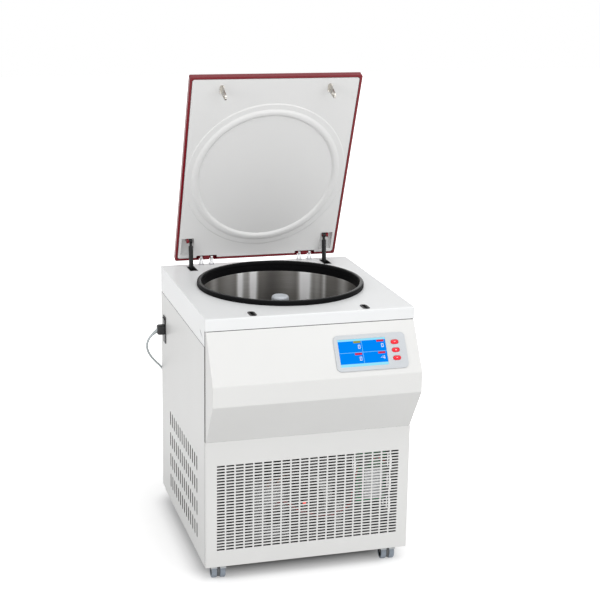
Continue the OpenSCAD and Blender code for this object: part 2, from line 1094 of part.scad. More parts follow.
module castor_wheels_3() {
    castor_wheels(2);
}

module castor_wheels_4() {
    castor_wheels(3);
}

// Mains inlet and switch

module inlet_panel() {
    color([0.05, 0.05, 0.05])
        difference() {
            union() {
                span([-half_w - 3, inlet_y - 18.5, inlet_z - 45.5], [-half_w, inlet_y + 18.5, inlet_z + 45.5]);
                span([-half_w - 1, inlet_y - 15.2, inlet_z - 42.2], [-half_w + 26, inlet_y + 15.2, inlet_z + 42.2]);
            }
            span([-half_w - 4, socket_y - 10.6, socket_z - 15.1], [-half_w + 18, socket_y + 10.6, socket_z + 15.1]);
            span([-half_w - 4, inlet_y - 13, rocker_z - 9.2], [-half_w + 12, inlet_y + 13, rocker_z + 9.2]);
            translate([-half_w + rocker_pin_x, inlet_y, rocker_z])
                rod_y(-14.4, 14.4, 1.5 + gap);
        }
}

module power_rocker() {
    color([0.08, 0.08, 0.08])
        translate([-half_w + rocker_pin_x, inlet_y, rocker_z])
            rotate([0, -7, 0]) {
                rotate([90, 0, 0])
                    linear_extrude(25, center = true)
                        polygon([[4, -6], [4, 6], [-5, 8], [-7, 7.6], [-5, 0], [-7, -7.6], [-5, -8]]);
                rod_y(-14, 14, 1.5);
            }
}

module cord_connector() {
    color([0.07, 0.07, 0.07])
        translate([0, socket_y, socket_z]) {
            span([-half_w - 5, -10.2, -14.7], [-half_w + 14, 10.2, 14.7]);
            span([-half_w - 28, -12.5, -16.5], [-half_w - 4, 12.5, 16.5]);
            translate([-half_w - 27, 0, -1.5])
                rotate([0, -90 - relief_tilt, 0])
                    translate([0, 0, -8])
                        cylinder(r1 = 7, r2 = cord_radius + 0.7, h = 31);
        }
}

// Sweep a round section along the route
function unit(v) = v / norm(v);
function route_dir(p, i) = unit(p[min(i + 1, len(p) - 1)] - p[max(i - 1, 0)]);
function ring_at(p, i, side) =
    let (t = route_dir(p, i), a = unit(cross(t, side)), b = cross(t, a))
    [for (k = [0 : cord_sides - 1])
        p[i] + cord_radius * (a * cos(360 * k / cord_sides) + b * sin(360 * k / cord_sides))];
function mid_pair(a, b, c, d, u) =
    0.5 * ((2 * b) + (c - a) * u + (2 * a - 5 * b + 4 * c - d) * u * u + (3 * b - a - 3 * c + d) * u * u * u);
function smooth_route(p, n) = concat(
    [for (i = [0 : len(p) - 2], j = [0 : n - 1])
        mid_pair(p[max(i - 1, 0)], p[i], p[i + 1], p[min(i + 2, len(p) - 1)], j / n)],
    [p[len(p) - 1]]
);

module mains_cord() {
    path = smooth_route(cord_route, 3);
    rings = [for (i = [0 : len(path) - 1]) each ring_at(path, i, [0.35, 0.9, 0.26])];
    last = len(path) - 1;
    color([0.66, 0.66, 0.66])
        polyhedron(
            points = rings,
            faces = concat(
                [[for (k = [0 : cord_sides - 1]) k]],
                [for (i = [0 : last - 1], k = [0 : cord_sides - 1]) [
                    i * cord_sides + k,
                    (i + 1) * cord_sides + k,
                    (i + 1) * cord_sides + (k + 1) % cord_sides,
                    i * cord_sides + (k + 1) % cord_sides
                ]],
                [[for (k = [cord_sides - 1 : -1 : 0]) last * cord_sides + k]]
            )
        );
}

module cord_coil() {
    color([0.66, 0.66, 0.66])
        translate([coil_x, coil_y, 0])
            rotate_extrude()
                translate([coil_inner, 0])
                    square([2 * cord_radius * coil_columns, 2 * cord_radius * coil_layers]);
}

module mains_plug() {
    color([0.07, 0.07, 0.07])
        translate([plug_x, plug_y, plug_z]) {
            rotate([0, 90, 0])
                cylinder(r1 = cord_radius + 0.7, r2 = 8, h = 34);
            rod_x(33, 60, 19);
            rod_x(59, 68, 17);
            for (y = [-9.5, 9.5])
                translate([0, y, 0])
                    rod_x(67, 86, 2.4);
        }
}

base_pan();
frame_posts();
motor_deck();
chamber_deck();
front_grille();
fascia();
side_panel_left();
side_panel_right();
rear_cover();
top_cover();
panel_screws();
drive_motor();
motor_mounts();
armour_ring();
bowl_insulation();
chamber_bowl();
chamber_seal();
drive_shaft();
rotor_yoke();
plate_carrier_left();
plate_carrier_right();
latch_sockets();
latch_bolt_left();
latch_bolt_right();
strut_trims();
strut_brackets();
hinge_posts();
lid_shell();
lid_liner();
lid_hooks();
lid_hinges();
gas_tube_left();
gas_tube_right();
gas_rod_left();
gas_rod_right();
display_bezel();
display_screen();
button_1();
button_2();
button_3();
control_board();
compressor();
condenser();
fan_shroud();
fan();
castor_plates();
castor_fork_1();
castor_fork_2();
castor_fork_3();
castor_fork_4();
castor_wheels_1();
castor_wheels_2();
castor_wheels_3();
castor_wheels_4();
inlet_panel();
power_rocker();
cord_connector();
mains_cord();
cord_coil();
mains_plug();
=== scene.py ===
import json
import math

import bmesh
import bpy
from mathutils import Matrix, Vector

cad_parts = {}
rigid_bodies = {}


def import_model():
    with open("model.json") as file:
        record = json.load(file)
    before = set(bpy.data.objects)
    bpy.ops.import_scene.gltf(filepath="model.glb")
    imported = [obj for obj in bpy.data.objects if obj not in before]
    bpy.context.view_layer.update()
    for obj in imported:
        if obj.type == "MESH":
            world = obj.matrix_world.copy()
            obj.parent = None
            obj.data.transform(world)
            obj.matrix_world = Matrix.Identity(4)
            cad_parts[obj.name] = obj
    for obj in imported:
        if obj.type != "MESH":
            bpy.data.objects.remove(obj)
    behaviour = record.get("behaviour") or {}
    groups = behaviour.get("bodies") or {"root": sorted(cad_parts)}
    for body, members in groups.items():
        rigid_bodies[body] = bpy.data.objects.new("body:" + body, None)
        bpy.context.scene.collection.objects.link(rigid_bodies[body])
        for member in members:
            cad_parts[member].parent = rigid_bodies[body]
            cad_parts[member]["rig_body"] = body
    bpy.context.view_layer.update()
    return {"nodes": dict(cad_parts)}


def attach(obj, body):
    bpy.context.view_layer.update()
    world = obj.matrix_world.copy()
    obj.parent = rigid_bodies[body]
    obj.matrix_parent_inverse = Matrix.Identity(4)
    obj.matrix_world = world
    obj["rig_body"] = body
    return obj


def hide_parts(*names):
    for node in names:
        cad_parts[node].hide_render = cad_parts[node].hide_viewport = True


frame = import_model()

nodes = frame["nodes"]

# The view. The machine is seen a little from its left and from above the open
# chamber, through the lens that gives its true proportions.
VIEW_YAW, VIEW_PITCH, VIEW_ROLL = 0.287561, -0.262572, 0.016336
VIEW_PLACE = (-1.18047, -4.15871, 1.96706)
LENS, SENSOR_WIDTH, FAR_END = 84.648, 36, 60
ahead = Vector((
    math.sin(VIEW_YAW) * math.cos(VIEW_PITCH),
    math.cos(VIEW_YAW) * math.cos(VIEW_PITCH),
    math.sin(VIEW_PITCH),
))
level_right = Vector((math.cos(VIEW_YAW), -math.sin(VIEW_YAW), 0))
downward = ahead.cross(level_right)
view_right = level_right * math.cos(VIEW_ROLL) - downward * math.sin(VIEW_ROLL)
view_up = -(level_right * math.sin(VIEW_ROLL) + downward * math.cos(VIEW_ROLL))
camera_data = bpy.data.cameras.new("view")
camera_data.lens = LENS
camera_data.sensor_width = SENSOR_WIDTH
camera_data.clip_end = FAR_END
camera = bpy.data.objects.new("view", camera_data)
camera.matrix_world = (
    Matrix.Translation(VIEW_PLACE)
    @ Matrix((view_right, view_up, -ahead)).transposed().to_4x4()
)
bpy.context.scene.collection.objects.link(camera)
bpy.context.scene.camera = camera
bpy.context.scene.view_settings.view_transform = "Standard"


# The studio. A pale floor runs out into a white surround. One broad soft box
# hangs over the front; weaker ones stand at the right, at the left and low in front.
class Signal:
    """A socket that can stand in a sum; each sum adds its Math node."""

    def __init__(self, recipe, socket):
        self.recipe = recipe
        self.socket = socket

    def __add__(self, other):
        return self.recipe.maths("ADD", self, other)

    def __sub__(self, other):
        return self.recipe.maths("SUBTRACT", self, other)

    def __rsub__(self, other):
        return self.recipe.maths("SUBTRACT", other, self)

    def __mul__(self, other):
        return self.recipe.maths("MULTIPLY", self, other)

    def __abs__(self):
        return self.recipe.maths("ABSOLUTE", self)

    def __gt__(self, other):
        return self.recipe.maths("GREATER_THAN", self, other)

    def __lt__(self, other):
        return self.recipe.maths("LESS_THAN", self, other)

    __radd__ = __add__
    __rmul__ = __mul__


class Recipe:
    """A node tree that is filled one node at a time."""

    def __init__(self, tree):
        self.tree = tree
        tree.nodes.clear()

    def node(self, kind, settings=None, values=None, output=0):
        made = self.tree.nodes.new(kind)
        settings = dict(settings or {})
        stops = settings.pop("stops", ())
        for name, value in settings.items():
            setattr(made, name, value)
        for _ in stops[2:]:
            made.color_ramp.elements.new(0.5)
        for element, (position, colour) in zip(made.color_ramp.elements if stops else (), stops):
            element.position = position
            element.color = (*colour, 1)
        for key, value in (values or {}).items():
            self.join(value, made.inputs[key])
        return Signal(self, made.outputs[output]) if made.outputs else None

    def maths(self, operation, *terms):
        return self.node("ShaderNodeMath", {"operation": operation}, dict(enumerate(terms)))

    def join(self, value, socket):
        if isinstance(value, Signal):
            self.tree.links.new(value.socket, socket)
        elif socket.type == "RGBA":
            socket.default_value = (*value[:3], 1)
        else:
            socket.default_value = value

    def looked_at(self):
        """1 where a camera, a mirror or a glass looks, and 0 where light only bounces."""
        rays = [
            self.node("ShaderNodeLightPath", output=kind)
            for kind in ("Is Camera Ray", "Is Glossy Ray", "Is Transmission Ray")
        ]
        return (rays[0] + rays[1] + rays[2]) > 0.5


class Finish(Recipe):
    """A surface finish: its material, its shader and the nodes that vary it."""

    def __init__(self, name, shader="ShaderNodeBsdfPrincipled", **fixed):
        self.material = bpy.data.materials.new(name)
        self.material.use_nodes = True
        super().__init__(self.material.node_tree)
        fixed = {key.replace("_", " "): value for key, value in fixed.items()}
        self.shader = self.node(shader, values=fixed)
        self.out = self.tree.nodes.new("ShaderNodeOutputMaterial")
        self.join(self.shader, self.out.inputs["Surface"])

    def place(self):
        return self.node("ShaderNodeTexCoord", output="Object")

    def stretched(self, sizes):
        """Where a point lies, counted in pattern lengths; sizes are those lengths in metres."""
        scale = tuple(1 / size for size in (sizes * 3 if len(sizes) == 1 else sizes))
        return self.node("ShaderNodeMapping", None, {"Vector": self.place(), "Scale": scale})

    def noise(self, *sizes, detail=2.0):
        values = {"Vector": self.stretched(sizes), "Scale": 1.0, "Detail": detail}
        return self.node("ShaderNodeTexNoise", None, values)

    def mottle(self, pattern):
        """Noise from one size, from a size and its detail, or from sizes along x, y and z."""
        if isinstance(pattern, tuple) and len(pattern) == 2:
            return self.noise(pattern[0], detail=pattern[1])
        return self.noise(*(pattern if isinstance(pattern, tuple) else (pattern,)))

    def cells(self, *sizes, output="Distance"):
        values = {"Vector": self.stretched(sizes), "Scale": 1.0}
        return self.node("ShaderNodeTexVoronoi", None, values, output)

    def between(self, first, second, share):
        return self.node("ShaderNodeMix", {"data_type": "RGBA"}, {0: share, 6: first, 7: second}, 2)

    def ease(self, signal, low, high, out_low=0.0, out_high=1.0):
        """A soft step from one value to another as the signal rises from low to high."""
        return self.node(
            "ShaderNodeMapRange", {"interpolation_type": "SMOOTHSTEP"},
            {0: signal, 1: low, 2: high, 3: out_low, 4: out_high},
        )

    def part(self, axis):
        """One coordinate of the point, in metres."""
        return self.node("ShaderNodeSeparateXYZ", None, {0: self.place()}, axis)

    def vary(self, colour=None, roughness=None, relief=None, depth=0.0001, glow=None, coat=None):
        """Joins what varies to the shader; relief is the shape of a bump depth metres high."""
        shader = self.shader.socket.node
        for value, name in (
            (colour, "Base Color"), (roughness, "Roughness"),
            (glow, "Emission Color"), (coat, "Coat Weight"),
        ):
            if value is not None:
                self.join(value, shader.inputs[name])
        if relief is not None:
            values = {"Strength": 1.0, "Distance": depth, "Height": relief}
            self.join(self.node("ShaderNodeBump", None, values), shader.inputs["Normal"])
        return self


# A shadow is painted on the floor: it is near black on a rectangle under the machine, and the
# camera-only glow fades in away from it. The rectangle: its axis, middle and half width.
FLOOR_REACH = 14
FLOOR_TONE, PAINTED_SHADOW_TONE = (0.66, 0.66, 0.66), (0.04, 0.04, 0.04)
FOOTPRINT = (("X", -0.01, 0.24), ("Y", 0.09, 0.262))
floor_finish = Finish("studio_floor", "ShaderNodeBsdfDiffuse", Color=FLOOR_TONE)
beyond = []
for axis, middle, half in FOOTPRINT:
    off_middle = abs(floor_finish.part(axis) - middle)
    beyond.append(floor_finish.maths("MAXIMUM", off_middle - half, 0.0))
off_footprint = floor_finish.maths("SQRT", beyond[0] * beyond[0] + beyond[1] * beyond[1])
# Painted shadow: a near-black diffuse under the machine, mixed in by the distance from the
# footprint.
shade = floor_finish.node("ShaderNodeBsdfDiffuse", None, {"Color": PAINTED_SHADOW_TONE})
ground = floor_finish.node(
    "ShaderNodeMixShader", None,
    {0: floor_finish.ease(off_footprint, 0.0, 0.035), 1: shade, 2: floor_finish.shader},
)
near_glow = floor_finish.ease(off_footprint, 0.0, 0.13, 0.0, 0.5)
far_glow = floor_finish.ease(off_footprint, 0.08, 0.8, 0.0, 0.6)
glare = floor_finish.looked_at() * (near_glow + far_glow)
lift = floor_finish.node("ShaderNodeEmission", None, {"Color": (1, 1, 1), "Strength": glare})
laid = floor_finish.node("ShaderNodeAddShader", None, {0: ground, 1: lift})
floor_finish.join(laid, floor_finish.out.inputs["Surface"])
floor_mesh = bpy.data.meshes.new("studio_floor")
floor_mesh.from_pydata(
    [(x * FLOOR_REACH, y * FLOOR_REACH, 0) for x, y in ((-1, -1), (1, -1), (1, 1), (-1, 1))],
    [], [(0, 1, 2, 3)],
)
floor_mesh.materials.append(floor_finish.material)
studio_floor = bpy.data.objects.new("studio_floor", floor_mesh)
bpy.context.scene.collection.objects.link(studio_floor)

SURROUND_LIGHT = 0.68
world = bpy.data.worlds.new("surround")
world.use_nodes = True
bpy.context.scene.world = world
surround = Recipe(world.node_tree)
bright = surround.looked_at() * (1 - SURROUND_LIGHT) + SURROUND_LIGHT
sky = surround.node("ShaderNodeBackground", None, {"Color": (1, 1, 1), "Strength": bright})
surround.node("ShaderNodeOutputWorld", None, {"Surface": sky})


MACHINE_MIDDLE = (0, 0, 0.75)


def soft_box(name, place, size, watts):
    """A square lamp at a place, turned to face the middle of the machine."""
    light = bpy.data.lights.new(name, "AREA")
    light.shape = "SQUARE"
    light.size = size
    light.energy = watts
    stand = bpy.data.objects.new(name, light)
    stand.location = place
    towards = Vector(MACHINE_MIDDLE) - Vector(place)
    stand.rotation_euler = towards.to_track_quat("-Z", "Y").to_euler()
    bpy.context.scene.collection.objects.link(stand)


soft_box("soft_box_over", (0.5, -1.7, 3.7), 2.2, 38)
soft_box("soft_box_right", (2.4, -3.6, 1.6), 1.8, 22)
soft_box("soft_box_left", (-3.2, -1.6, 1.8), 1.5, 18)
soft_box("soft_box_low", (-0.2, -3.9, 0.55), 1.2, 19)


# Floor pan and posts. The pan is folded from one sheet, the posts are square tube
# spot-welded to it; both are dipped in a dark grey primer before assembly, painted near
# black here so that it also stands for the shade inside the bay.
def coated(name, dark, pale, patch, gloss, relief=None, **fixed):
    """A two-tone finish; gloss is pattern, swing and middle, relief is pattern and depth."""
    made = Finish(name, **fixed)
    bumps, depth = relief or (None, 0)
    return made.vary(
        made.between(dark, pale, made.mottle(patch)),
        made.mottle(gloss[0]) * gloss[1] + gloss[2],
        made.mottle(bumps) if bumps else None, depth,
    )


def dress(finish, *names):
    """Gives CAD nodes that keep their shape their finish."""
    for name in names:
        nodes[name].data.materials.clear()
        nodes[name].data.materials.append(finish.material)


# Painted shade: the primer's near-black colour also stands for the shade in the bay behind the
# slots.
primer_and_bay_shade = coated(
    "grey_primer_and_bay_shade", (0.022, 0.023, 0.025), (0.04, 0.041, 0.043), (0.16, 4),
    ((0.012, 3), 0.22, 0.42), (0.0009, 0.00003), Specular_IOR_Level=0.12,
)
dress(primer_and_bay_shade, "base_pan", "frame_posts", "chamber_deck", "motor_deck")


# Castors. Four twin wheels with soft blue-grey tyres on black cores, each pair in
# a moulded light grey hood that swivels under a zinc-plated plate bolted to the pan.
class Form:
    """Shapes in millimetres that are gathered into one piece."""

    def __init__(self, place=None):
        self.mesh = bmesh.new()
        self.taken = self.mesh.faces.layers.int.new("taken")
        self.finishes = []
        self.place = place or Matrix()
        self.here = Matrix()

    def fresh(self):
        return [face for face in self.mesh.faces if not face[self.taken]]

    def took(self, finish):
        """Puts the faces that were just added in their place and gives them their finish."""
        if finish.material not in self.finishes:
            self.finishes.append(finish.material)
        added = self.fresh()
        for vert in {vert for face in added for vert in face.verts}:
            vert.co = self.here @ vert.co
        for face in added:
            face[self.taken] = 1
            face.smooth = True
            face.material_index = self.finishes.index(finish.material)
        return self

    def round_off(self, edge, steps):
        """Rounds the edges over 50 degrees of the faces that were just added."""
        if not edge:
            return
        added = self.fresh()
        bmesh.ops.recalc_face_normals(self.mesh, faces=added)
        sharp = {
            e for face in added for e in face.edges
            if len(e.link_faces) == 2 and e.calc_face_angle() > math.radians(50)
        }
        bmesh.ops.bevel(
            self.mesh, geom=list(sharp), offset=edge, segments=steps, profile=0.5,
            affect="EDGES", clamp_overlap=True,
        )

    def block(self, low, high, finish, edge=0.0, steps=2):
        low, high = Vector(low), Vector(high)
        size = Matrix.Diagonal((*(high - low), 1))
        bmesh.ops.create_cube(self.mesh, size=1, matrix=Matrix.Translation((low + high) / 2) @ size)
        self.round_off(edge, steps)
        return self.took(finish)

    def rod(self, start, end, radius, finish, edge=0.0, sides=32, steps=2):
        start, end = Vector(start), Vector(end)
        along = end - start
        turn = along.to_track_quat("Z", "Y").to_matrix().to_4x4()
        bmesh.ops.create_cone(
            self.mesh, cap_ends=True, segments=sides, radius1=radius, radius2=radius,
            depth=along.length, matrix=Matrix.Translation((start + end) / 2) @ turn,
        )
        self.round_off(edge, steps)
        return self.took(finish)

    def turned(self, outline, finish, sides=64):
        """A body turned round z from a closed outline of (radius, height)."""
        rings = []
        for radius, height in outline:
            count = 1 if radius < 0.001 else sides
            turns = [2 * math.pi * i / sides for i in range(count)]
            points = [(radius * math.cos(a), radius * math.sin(a), height) for a in turns]
            rings.append([self.mesh.verts.new(point) for point in points])
        for ring, after in zip(rings, rings[1:] + rings[:1]):
            for i in range(sides):
                j = (i + 1) % sides
                corners = dict.fromkeys((
                    ring[i % len(ring)], ring[j % len(ring)],
                    after[j % len(after)], after[i % len(after)],
                ))
                if len(corners) > 2:
                    self.mesh.faces.new(list(corners))
        return self.took(finish)

    def stacked(self, rings, finish, edge=0.0):
        """A body through a list of rings of points, closed at both ends."""
        rings = [[self.mesh.verts.new(point) for point in ring] for ring in rings]
        for ring, after in zip(rings, rings[1:]):
            for i, corner in enumerate(ring):
                j = (i + 1) % len(ring)
                self.mesh.faces.new((corner, ring[j], after[j], after[i]))
        self.mesh.faces.new(rings[0])
        self.mesh.faces.new(rings[-1])
        self.round_off(edge, 2)
        return self.took(finish)

    def slab(self, outline, low, high, finish, edge=0.0):
        """A plate of any flat outline of (x, y), from height low to high."""
        return self.stacked([[(x, y, z) for x, y in outline] for z in (low, high)], finish, edge)

    def pipe(self, path, radius, finish, sides=12):
        """A round pipe or wire along a list of points."""
        path = [Vector(point) for point in path]
        side = None
        rings = []
        for i, point in enumerate(path):
            along = (path[min(i + 1, len(path) - 1)] - path[max(i - 1, 0)]).normalized()
            side = along.orthogonal() if side is None else side - along * side.dot(along)
            side.normalize()
            other = along.cross(side)
            turns = [2 * math.pi * k / sides for k in range(sides)]
            rings.append([
                point + (side * math.cos(a) + other * math.sin(a)) * radius for a in turns
            ])
        return self.stacked(rings, finish)

    def cap_screw(self, head, finish, radius=4.0, height=3.0):
        """A socket-head screw that stands up from head, a matrix."""
        before, self.here = self.here, self.here @ head
        self.turned(
            [(0, 0), (radius, 0), (radius, height * 0.8), (radius * 0.88, height),
             (radius * 0.5, height), (radius * 0.46, height * 0.3), (0, height * 0.3)], finish, 24,
        )
        self.here = before
        return self

    def piece(self, name, body, slot, *stands_for, sharp=35):
        """Closes the form: one object that rides on its body and stands for its CAD nodes."""
        bmesh.ops.recalc_face_normals(self.mesh, faces=self.mesh.faces)
        self.mesh.faces.layers.int.remove(self.taken)
        mesh = bpy.data.meshes.new(name)
        self.mesh.transform(Matrix.Scale(0.001, 4) @ self.place)
        self.mesh.to_mesh(mesh)
        self.mesh.free()
        for material in self.finishes:
            mesh.materials.append(material)
        mesh.set_sharp_from_angle(angle=math.radians(sharp))
        return join_machine(bpy.data.objects.new(name, mesh), body, slot, *stands_for)


def shifted(x, y, z):
    return Matrix.Translation((x, y, z))


def turned_by(degrees, axis):
    return Matrix.Rotation(math.radians(degrees), 4, axis)


def smooth_line(points):
    """Points on a soft curve through the given ones, six to a step."""
    points = [Vector(point) for point in points]
    line = []
    for i in range(len(points) - 1):
        a, b, c, d = (points[min(max(i + k, 0), len(points) - 1)] for k in (-1, 0, 1, 2))
        for u in (j / 6 for j in range(6)):
            line.append(0.5 * (
                2 * b + (c - a) * u + (2 * a - 5 * b + 4 * c - d) * u ** 2
                + (3 * b - a - 3 * c + d) * u ** 3
            ))
    return [*line, points[-1]]


def rounded(width, height, radius, steps=6):
    """A rectangle's outline with round corners, about its middle."""
    outline = []
    for corner, (sx, sy) in enumerate(((1, 1), (-1, 1), (-1, -1), (1, -1))):
        for i in range(steps + 1):
            a = math.pi / 2 * (corner + i / steps)
            outline.append((
                sx * (width / 2 - radius) + radius * math.cos(a),
                sy * (height / 2 - radius) + radius * math.sin(a),
            ))
    return outline


def join_machine(made, body, slot, *stands_for):
    """Puts a piece in the scene, on its body and in the place of its CAD nodes."""
    bpy.context.scene.collection.objects.link(made)
    made.modifiers.new("flat_faces_first", "WEIGHTED_NORMAL").keep_sharp = True
    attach(made, body)
    if stands_for:
        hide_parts(*stands_for)
    return made


def rolled(name, node, finish, edge, slot, steps=2):
    """A copy of a CAD node with its sharp edges rolled over, which stands for it."""
    form = bmesh.new()
    form.from_mesh(nodes[node].data)
    bmesh.ops.remove_doubles(form, verts=form.verts, dist=2e-6)
    bmesh.ops.dissolve_limit(
        form, angle_limit=math.radians(0.6), verts=form.verts, edges=form.edges,
    )
    for face in form.faces:
        face.smooth = True
        face.material_index = 0
    mesh = bpy.data.meshes.new(name)
    form.to_mesh(mesh)
    form.free()
    mesh.materials.append(finish.material)
    made = bpy.data.objects.new(name, mesh)
    bevel = made.modifiers.new("rolled_edges", "BEVEL")
    bevel.width = edge / 1000
    bevel.segments = steps
    bevel.limit_method = "ANGLE"
    bevel.angle_limit = math.radians(40)
    bevel.use_clamp_overlap = True
    return join_machine(made, nodes[node]["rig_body"], slot, node)


CASTOR_X, CASTOR_FRONT, CASTOR_REAR = 276, -234, 333
CASTOR_TRAIL, CASTOR_TURN = 19, -94
WHEEL_RADIUS = 25
HALF_BASE, MID_BASE = (CASTOR_REAR - CASTOR_FRONT) / 2000, (CASTOR_REAR + CASTOR_FRONT) / 2000
WEB_HALF, WEB_TOP, WEB_SKEW = 0.0045, 0.0485, 0.07
zinc = Finish("zinc_plate", Metallic=1.0)
zinc.vary(
    zinc.between((0.5, 0.51, 0.53), (0.66, 0.67, 0.68), zinc.cells(0.006, output="Color")),
    zinc.noise(0.004) * 0.2 + 0.28,
)
dress(zinc, "castor_plates")
hood_grey = Finish("castor_hood")
along_x, along_y = hood_grey.part("X"), hood_grey.part("Y")
corner_x = hood_grey.maths("SIGN", along_x) * (CASTOR_X / 1000)
corner_y = hood_grey.maths("SIGN", along_y) * HALF_BASE + MID_BASE
# Painted shade: the hood's web between the two wheels is painted near black, standing for the shade
# in the gap between the tyres; WEB_HALF, WEB_TOP and WEB_SKEW place it.
off_web = abs(along_x - corner_x - (along_y - corner_y) * WEB_SKEW)
painted_web_shade = (off_web < WEB_HALF) * (hood_grey.part("Z") < WEB_TOP)
hood_tone = hood_grey.between((0.66, 0.69, 0.71), (0.72, 0.75, 0.77), hood_grey.noise(0.02))
hood_grey.vary(
    hood_grey.between(hood_tone, (0.1, 0.105, 0.11), painted_web_shade),
    hood_grey.noise(0.003) * 0.15 + 0.32, hood_grey.noise(0.0007), 0.00002,
)
tyre_grey = Finish("castor_tyre", Specular_IOR_Level=0.35)
tyre_dust = tyre_grey.noise(0.004, detail=4)
tyre_grey.vary(
    tyre_grey.between((0.25, 0.285, 0.335), (0.34, 0.385, 0.44), tyre_dust),
    tyre_dust * 0.25 + 0.42, tyre_grey.noise(0.0006), 0.00003,
)
core_black = coated(
    "castor_core", (0.012, 0.012, 0.014), (0.03, 0.03, 0.033), 0.006, (0.002, 0.2, 0.35),
)
castor_places = [(x, y) for y in (CASTOR_FRONT, CASTOR_REAR) for x in (-CASTOR_X, CASTOR_X)]
for number, (x, y) in enumerate(castor_places, 1):
    swivel = shifted(x, y, 0) @ turned_by(CASTOR_TURN, "Z")
    wheels = Form(swivel @ shifted(CASTOR_TRAIL, 0, WHEEL_RADIUS) @ turned_by(90, "X"))
    for side in (1, -1):
        outward = Matrix.Scale(side, 4, (0, 0, 1))
        wheels.here = outward
        wheels.turned(
            [(19, 5), (23.2, 5), (24.4, 5.6), (25, 7), (25, 10.8), (24.7, 11.2), (25, 11.6),
             (25, 15.4), (24.7, 15.8), (25, 16.2), (25, 19), (24.2, 20.6), (22.6, 21.6),
             (19, 21.6)],
            tyre_grey, 56,
        )
        wheels.turned(
            [(4.2, 5.5), (19.2, 5.5), (19.2, 20), (17, 19.4), (15.5, 16.6), (9, 16.6), (7.6, 19.6),
             (4.2, 20.4)], core_black, 48,
        )
        for spoke in range(5):
            wheels.here = outward @ turned_by(72 * spoke, "Z")
            wheels.block((-1.2, 6.5, 15.5), (1.2, 18, 18.6), core_black, 0.4)
    wheels.here = Matrix()
    wheels.rod((0, 0, -20.2), (0, 0, 20.2), 4, zinc, edge=0.4)
    wheels_node = f"castor_wheels_{number}"
    wheels.piece(f"castor_wheel_pair_{number}", wheels_node, "wheel_grey", wheels_node)
    rolled(f"castor_hood_{number}", f"castor_fork_{number}", hood_grey, 0.9, "castor_grey")


# Drive. A finned cast motor hangs under the chamber on four waisted rubber mounts;
# its ground steel shaft comes up through the chamber floor.
CHAMBER_Y = 57
DECK_TOP, MOTOR_FOOT, MOTOR_TOP = 410, 430, 618
FIN_ROOT, FIN_TIP, FIN_LOW, FIN_PITCH, FINS = 79, 84, 452, 14, 7
MOUNT_SPREAD = 68
chamber_axis = shifted(0, CHAMBER_Y, 0)
motor_grey = coated(
    "motor_enamel", (0.055, 0.06, 0.068), (0.09, 0.095, 0.105), (0.03, 4), (0.004, 0.25, 0.4),
    (0.0016, 0.00006), Specular_IOR_Level=0.45,
)
bright_steel = coated(
    "ground_steel", (0.6, 0.6, 0.61), (0.72, 0.72, 0.73), (0.05, 0.05, 0.0006),
    ((0.05, 0.05, 0.0004), 0.2, 0.18), Metallic=1.0,
)
soft_rubber = coated(
    "black_rubber", (0.01, 0.01, 0.011), (0.024, 0.024, 0.025), (0.01, 4), (0.003, 0.2, 0.55),
    (0.0008, 0.00004), Specular_IOR_Level=0.3,
)
motor = Form(chamber_axis)
fins = [
    (radius, FIN_LOW + FIN_PITCH * i + rise) for i in range(FINS)
    for radius, rise in ((FIN_ROOT, 0), (FIN_TIP, 1), (FIN_TIP, 4), (FIN_ROOT, 5))
]
motor.turned(
    [(0, MOTOR_FOOT), (99, MOTOR_FOOT), (100, 431), (100, 439), (99, 440), (79, 440), *fins,
     (78, 556), (75, 559.5), (60.5, 560), (60.5, 605), (59.5, 606.5), (27, MOTOR_TOP),
     (12.4, MOTOR_TOP), (12.4, 480), (0, 480)],
    motor_grey, 96,
)
for i in range(8):
    motor.cap_screw(turned_by(45 * i + 22.5, "Z") @ shifted(90, 0, 440), zinc, 4.5, 5)
motor.piece("drive_motor_housing", "cabinet", "motor_paint", "drive_motor")
mounts = Form(chamber_axis)
for x in (-MOUNT_SPREAD, MOUNT_SPREAD):
    for y in (-MOUNT_SPREAD, MOUNT_SPREAD):
        mounts.here = shifted(x, y, DECK_TOP)
        mounts.turned([(0, 0), (18, 0), (18, 1.6), (0, 1.6)], zinc, 40)
        mounts.turned(
            [(0, 1.6), (17.4, 1.6), (17.6, 3.4), (15.4, 7), (14.6, 10), (15.4, 13), (17.6, 16.6),
             (17.4, 18.4), (0, 18.4)], soft_rubber, 40,
        )
        mounts.turned([(0, 18.4), (18, 18.4), (18, 20), (0, 20)], zinc, 40)
mounts.piece("motor_rubber_mounts", "cabinet", "mount_rubber", "motor_mounts")
shaft = Form(chamber_axis)
shaft.turned(
    [(0, 472), (11.2, 472), (12, 473), (12, 623), (18.8, 624), (20, 625), (20, 639), (19, 640),
     (12, 640), (12, 743.6), (10.8, 745), (0, 745)], bright_steel, 48,
)
shaft.piece("drive_shaft_spindle", "rotor", "rod_chrome", "drive_shaft")


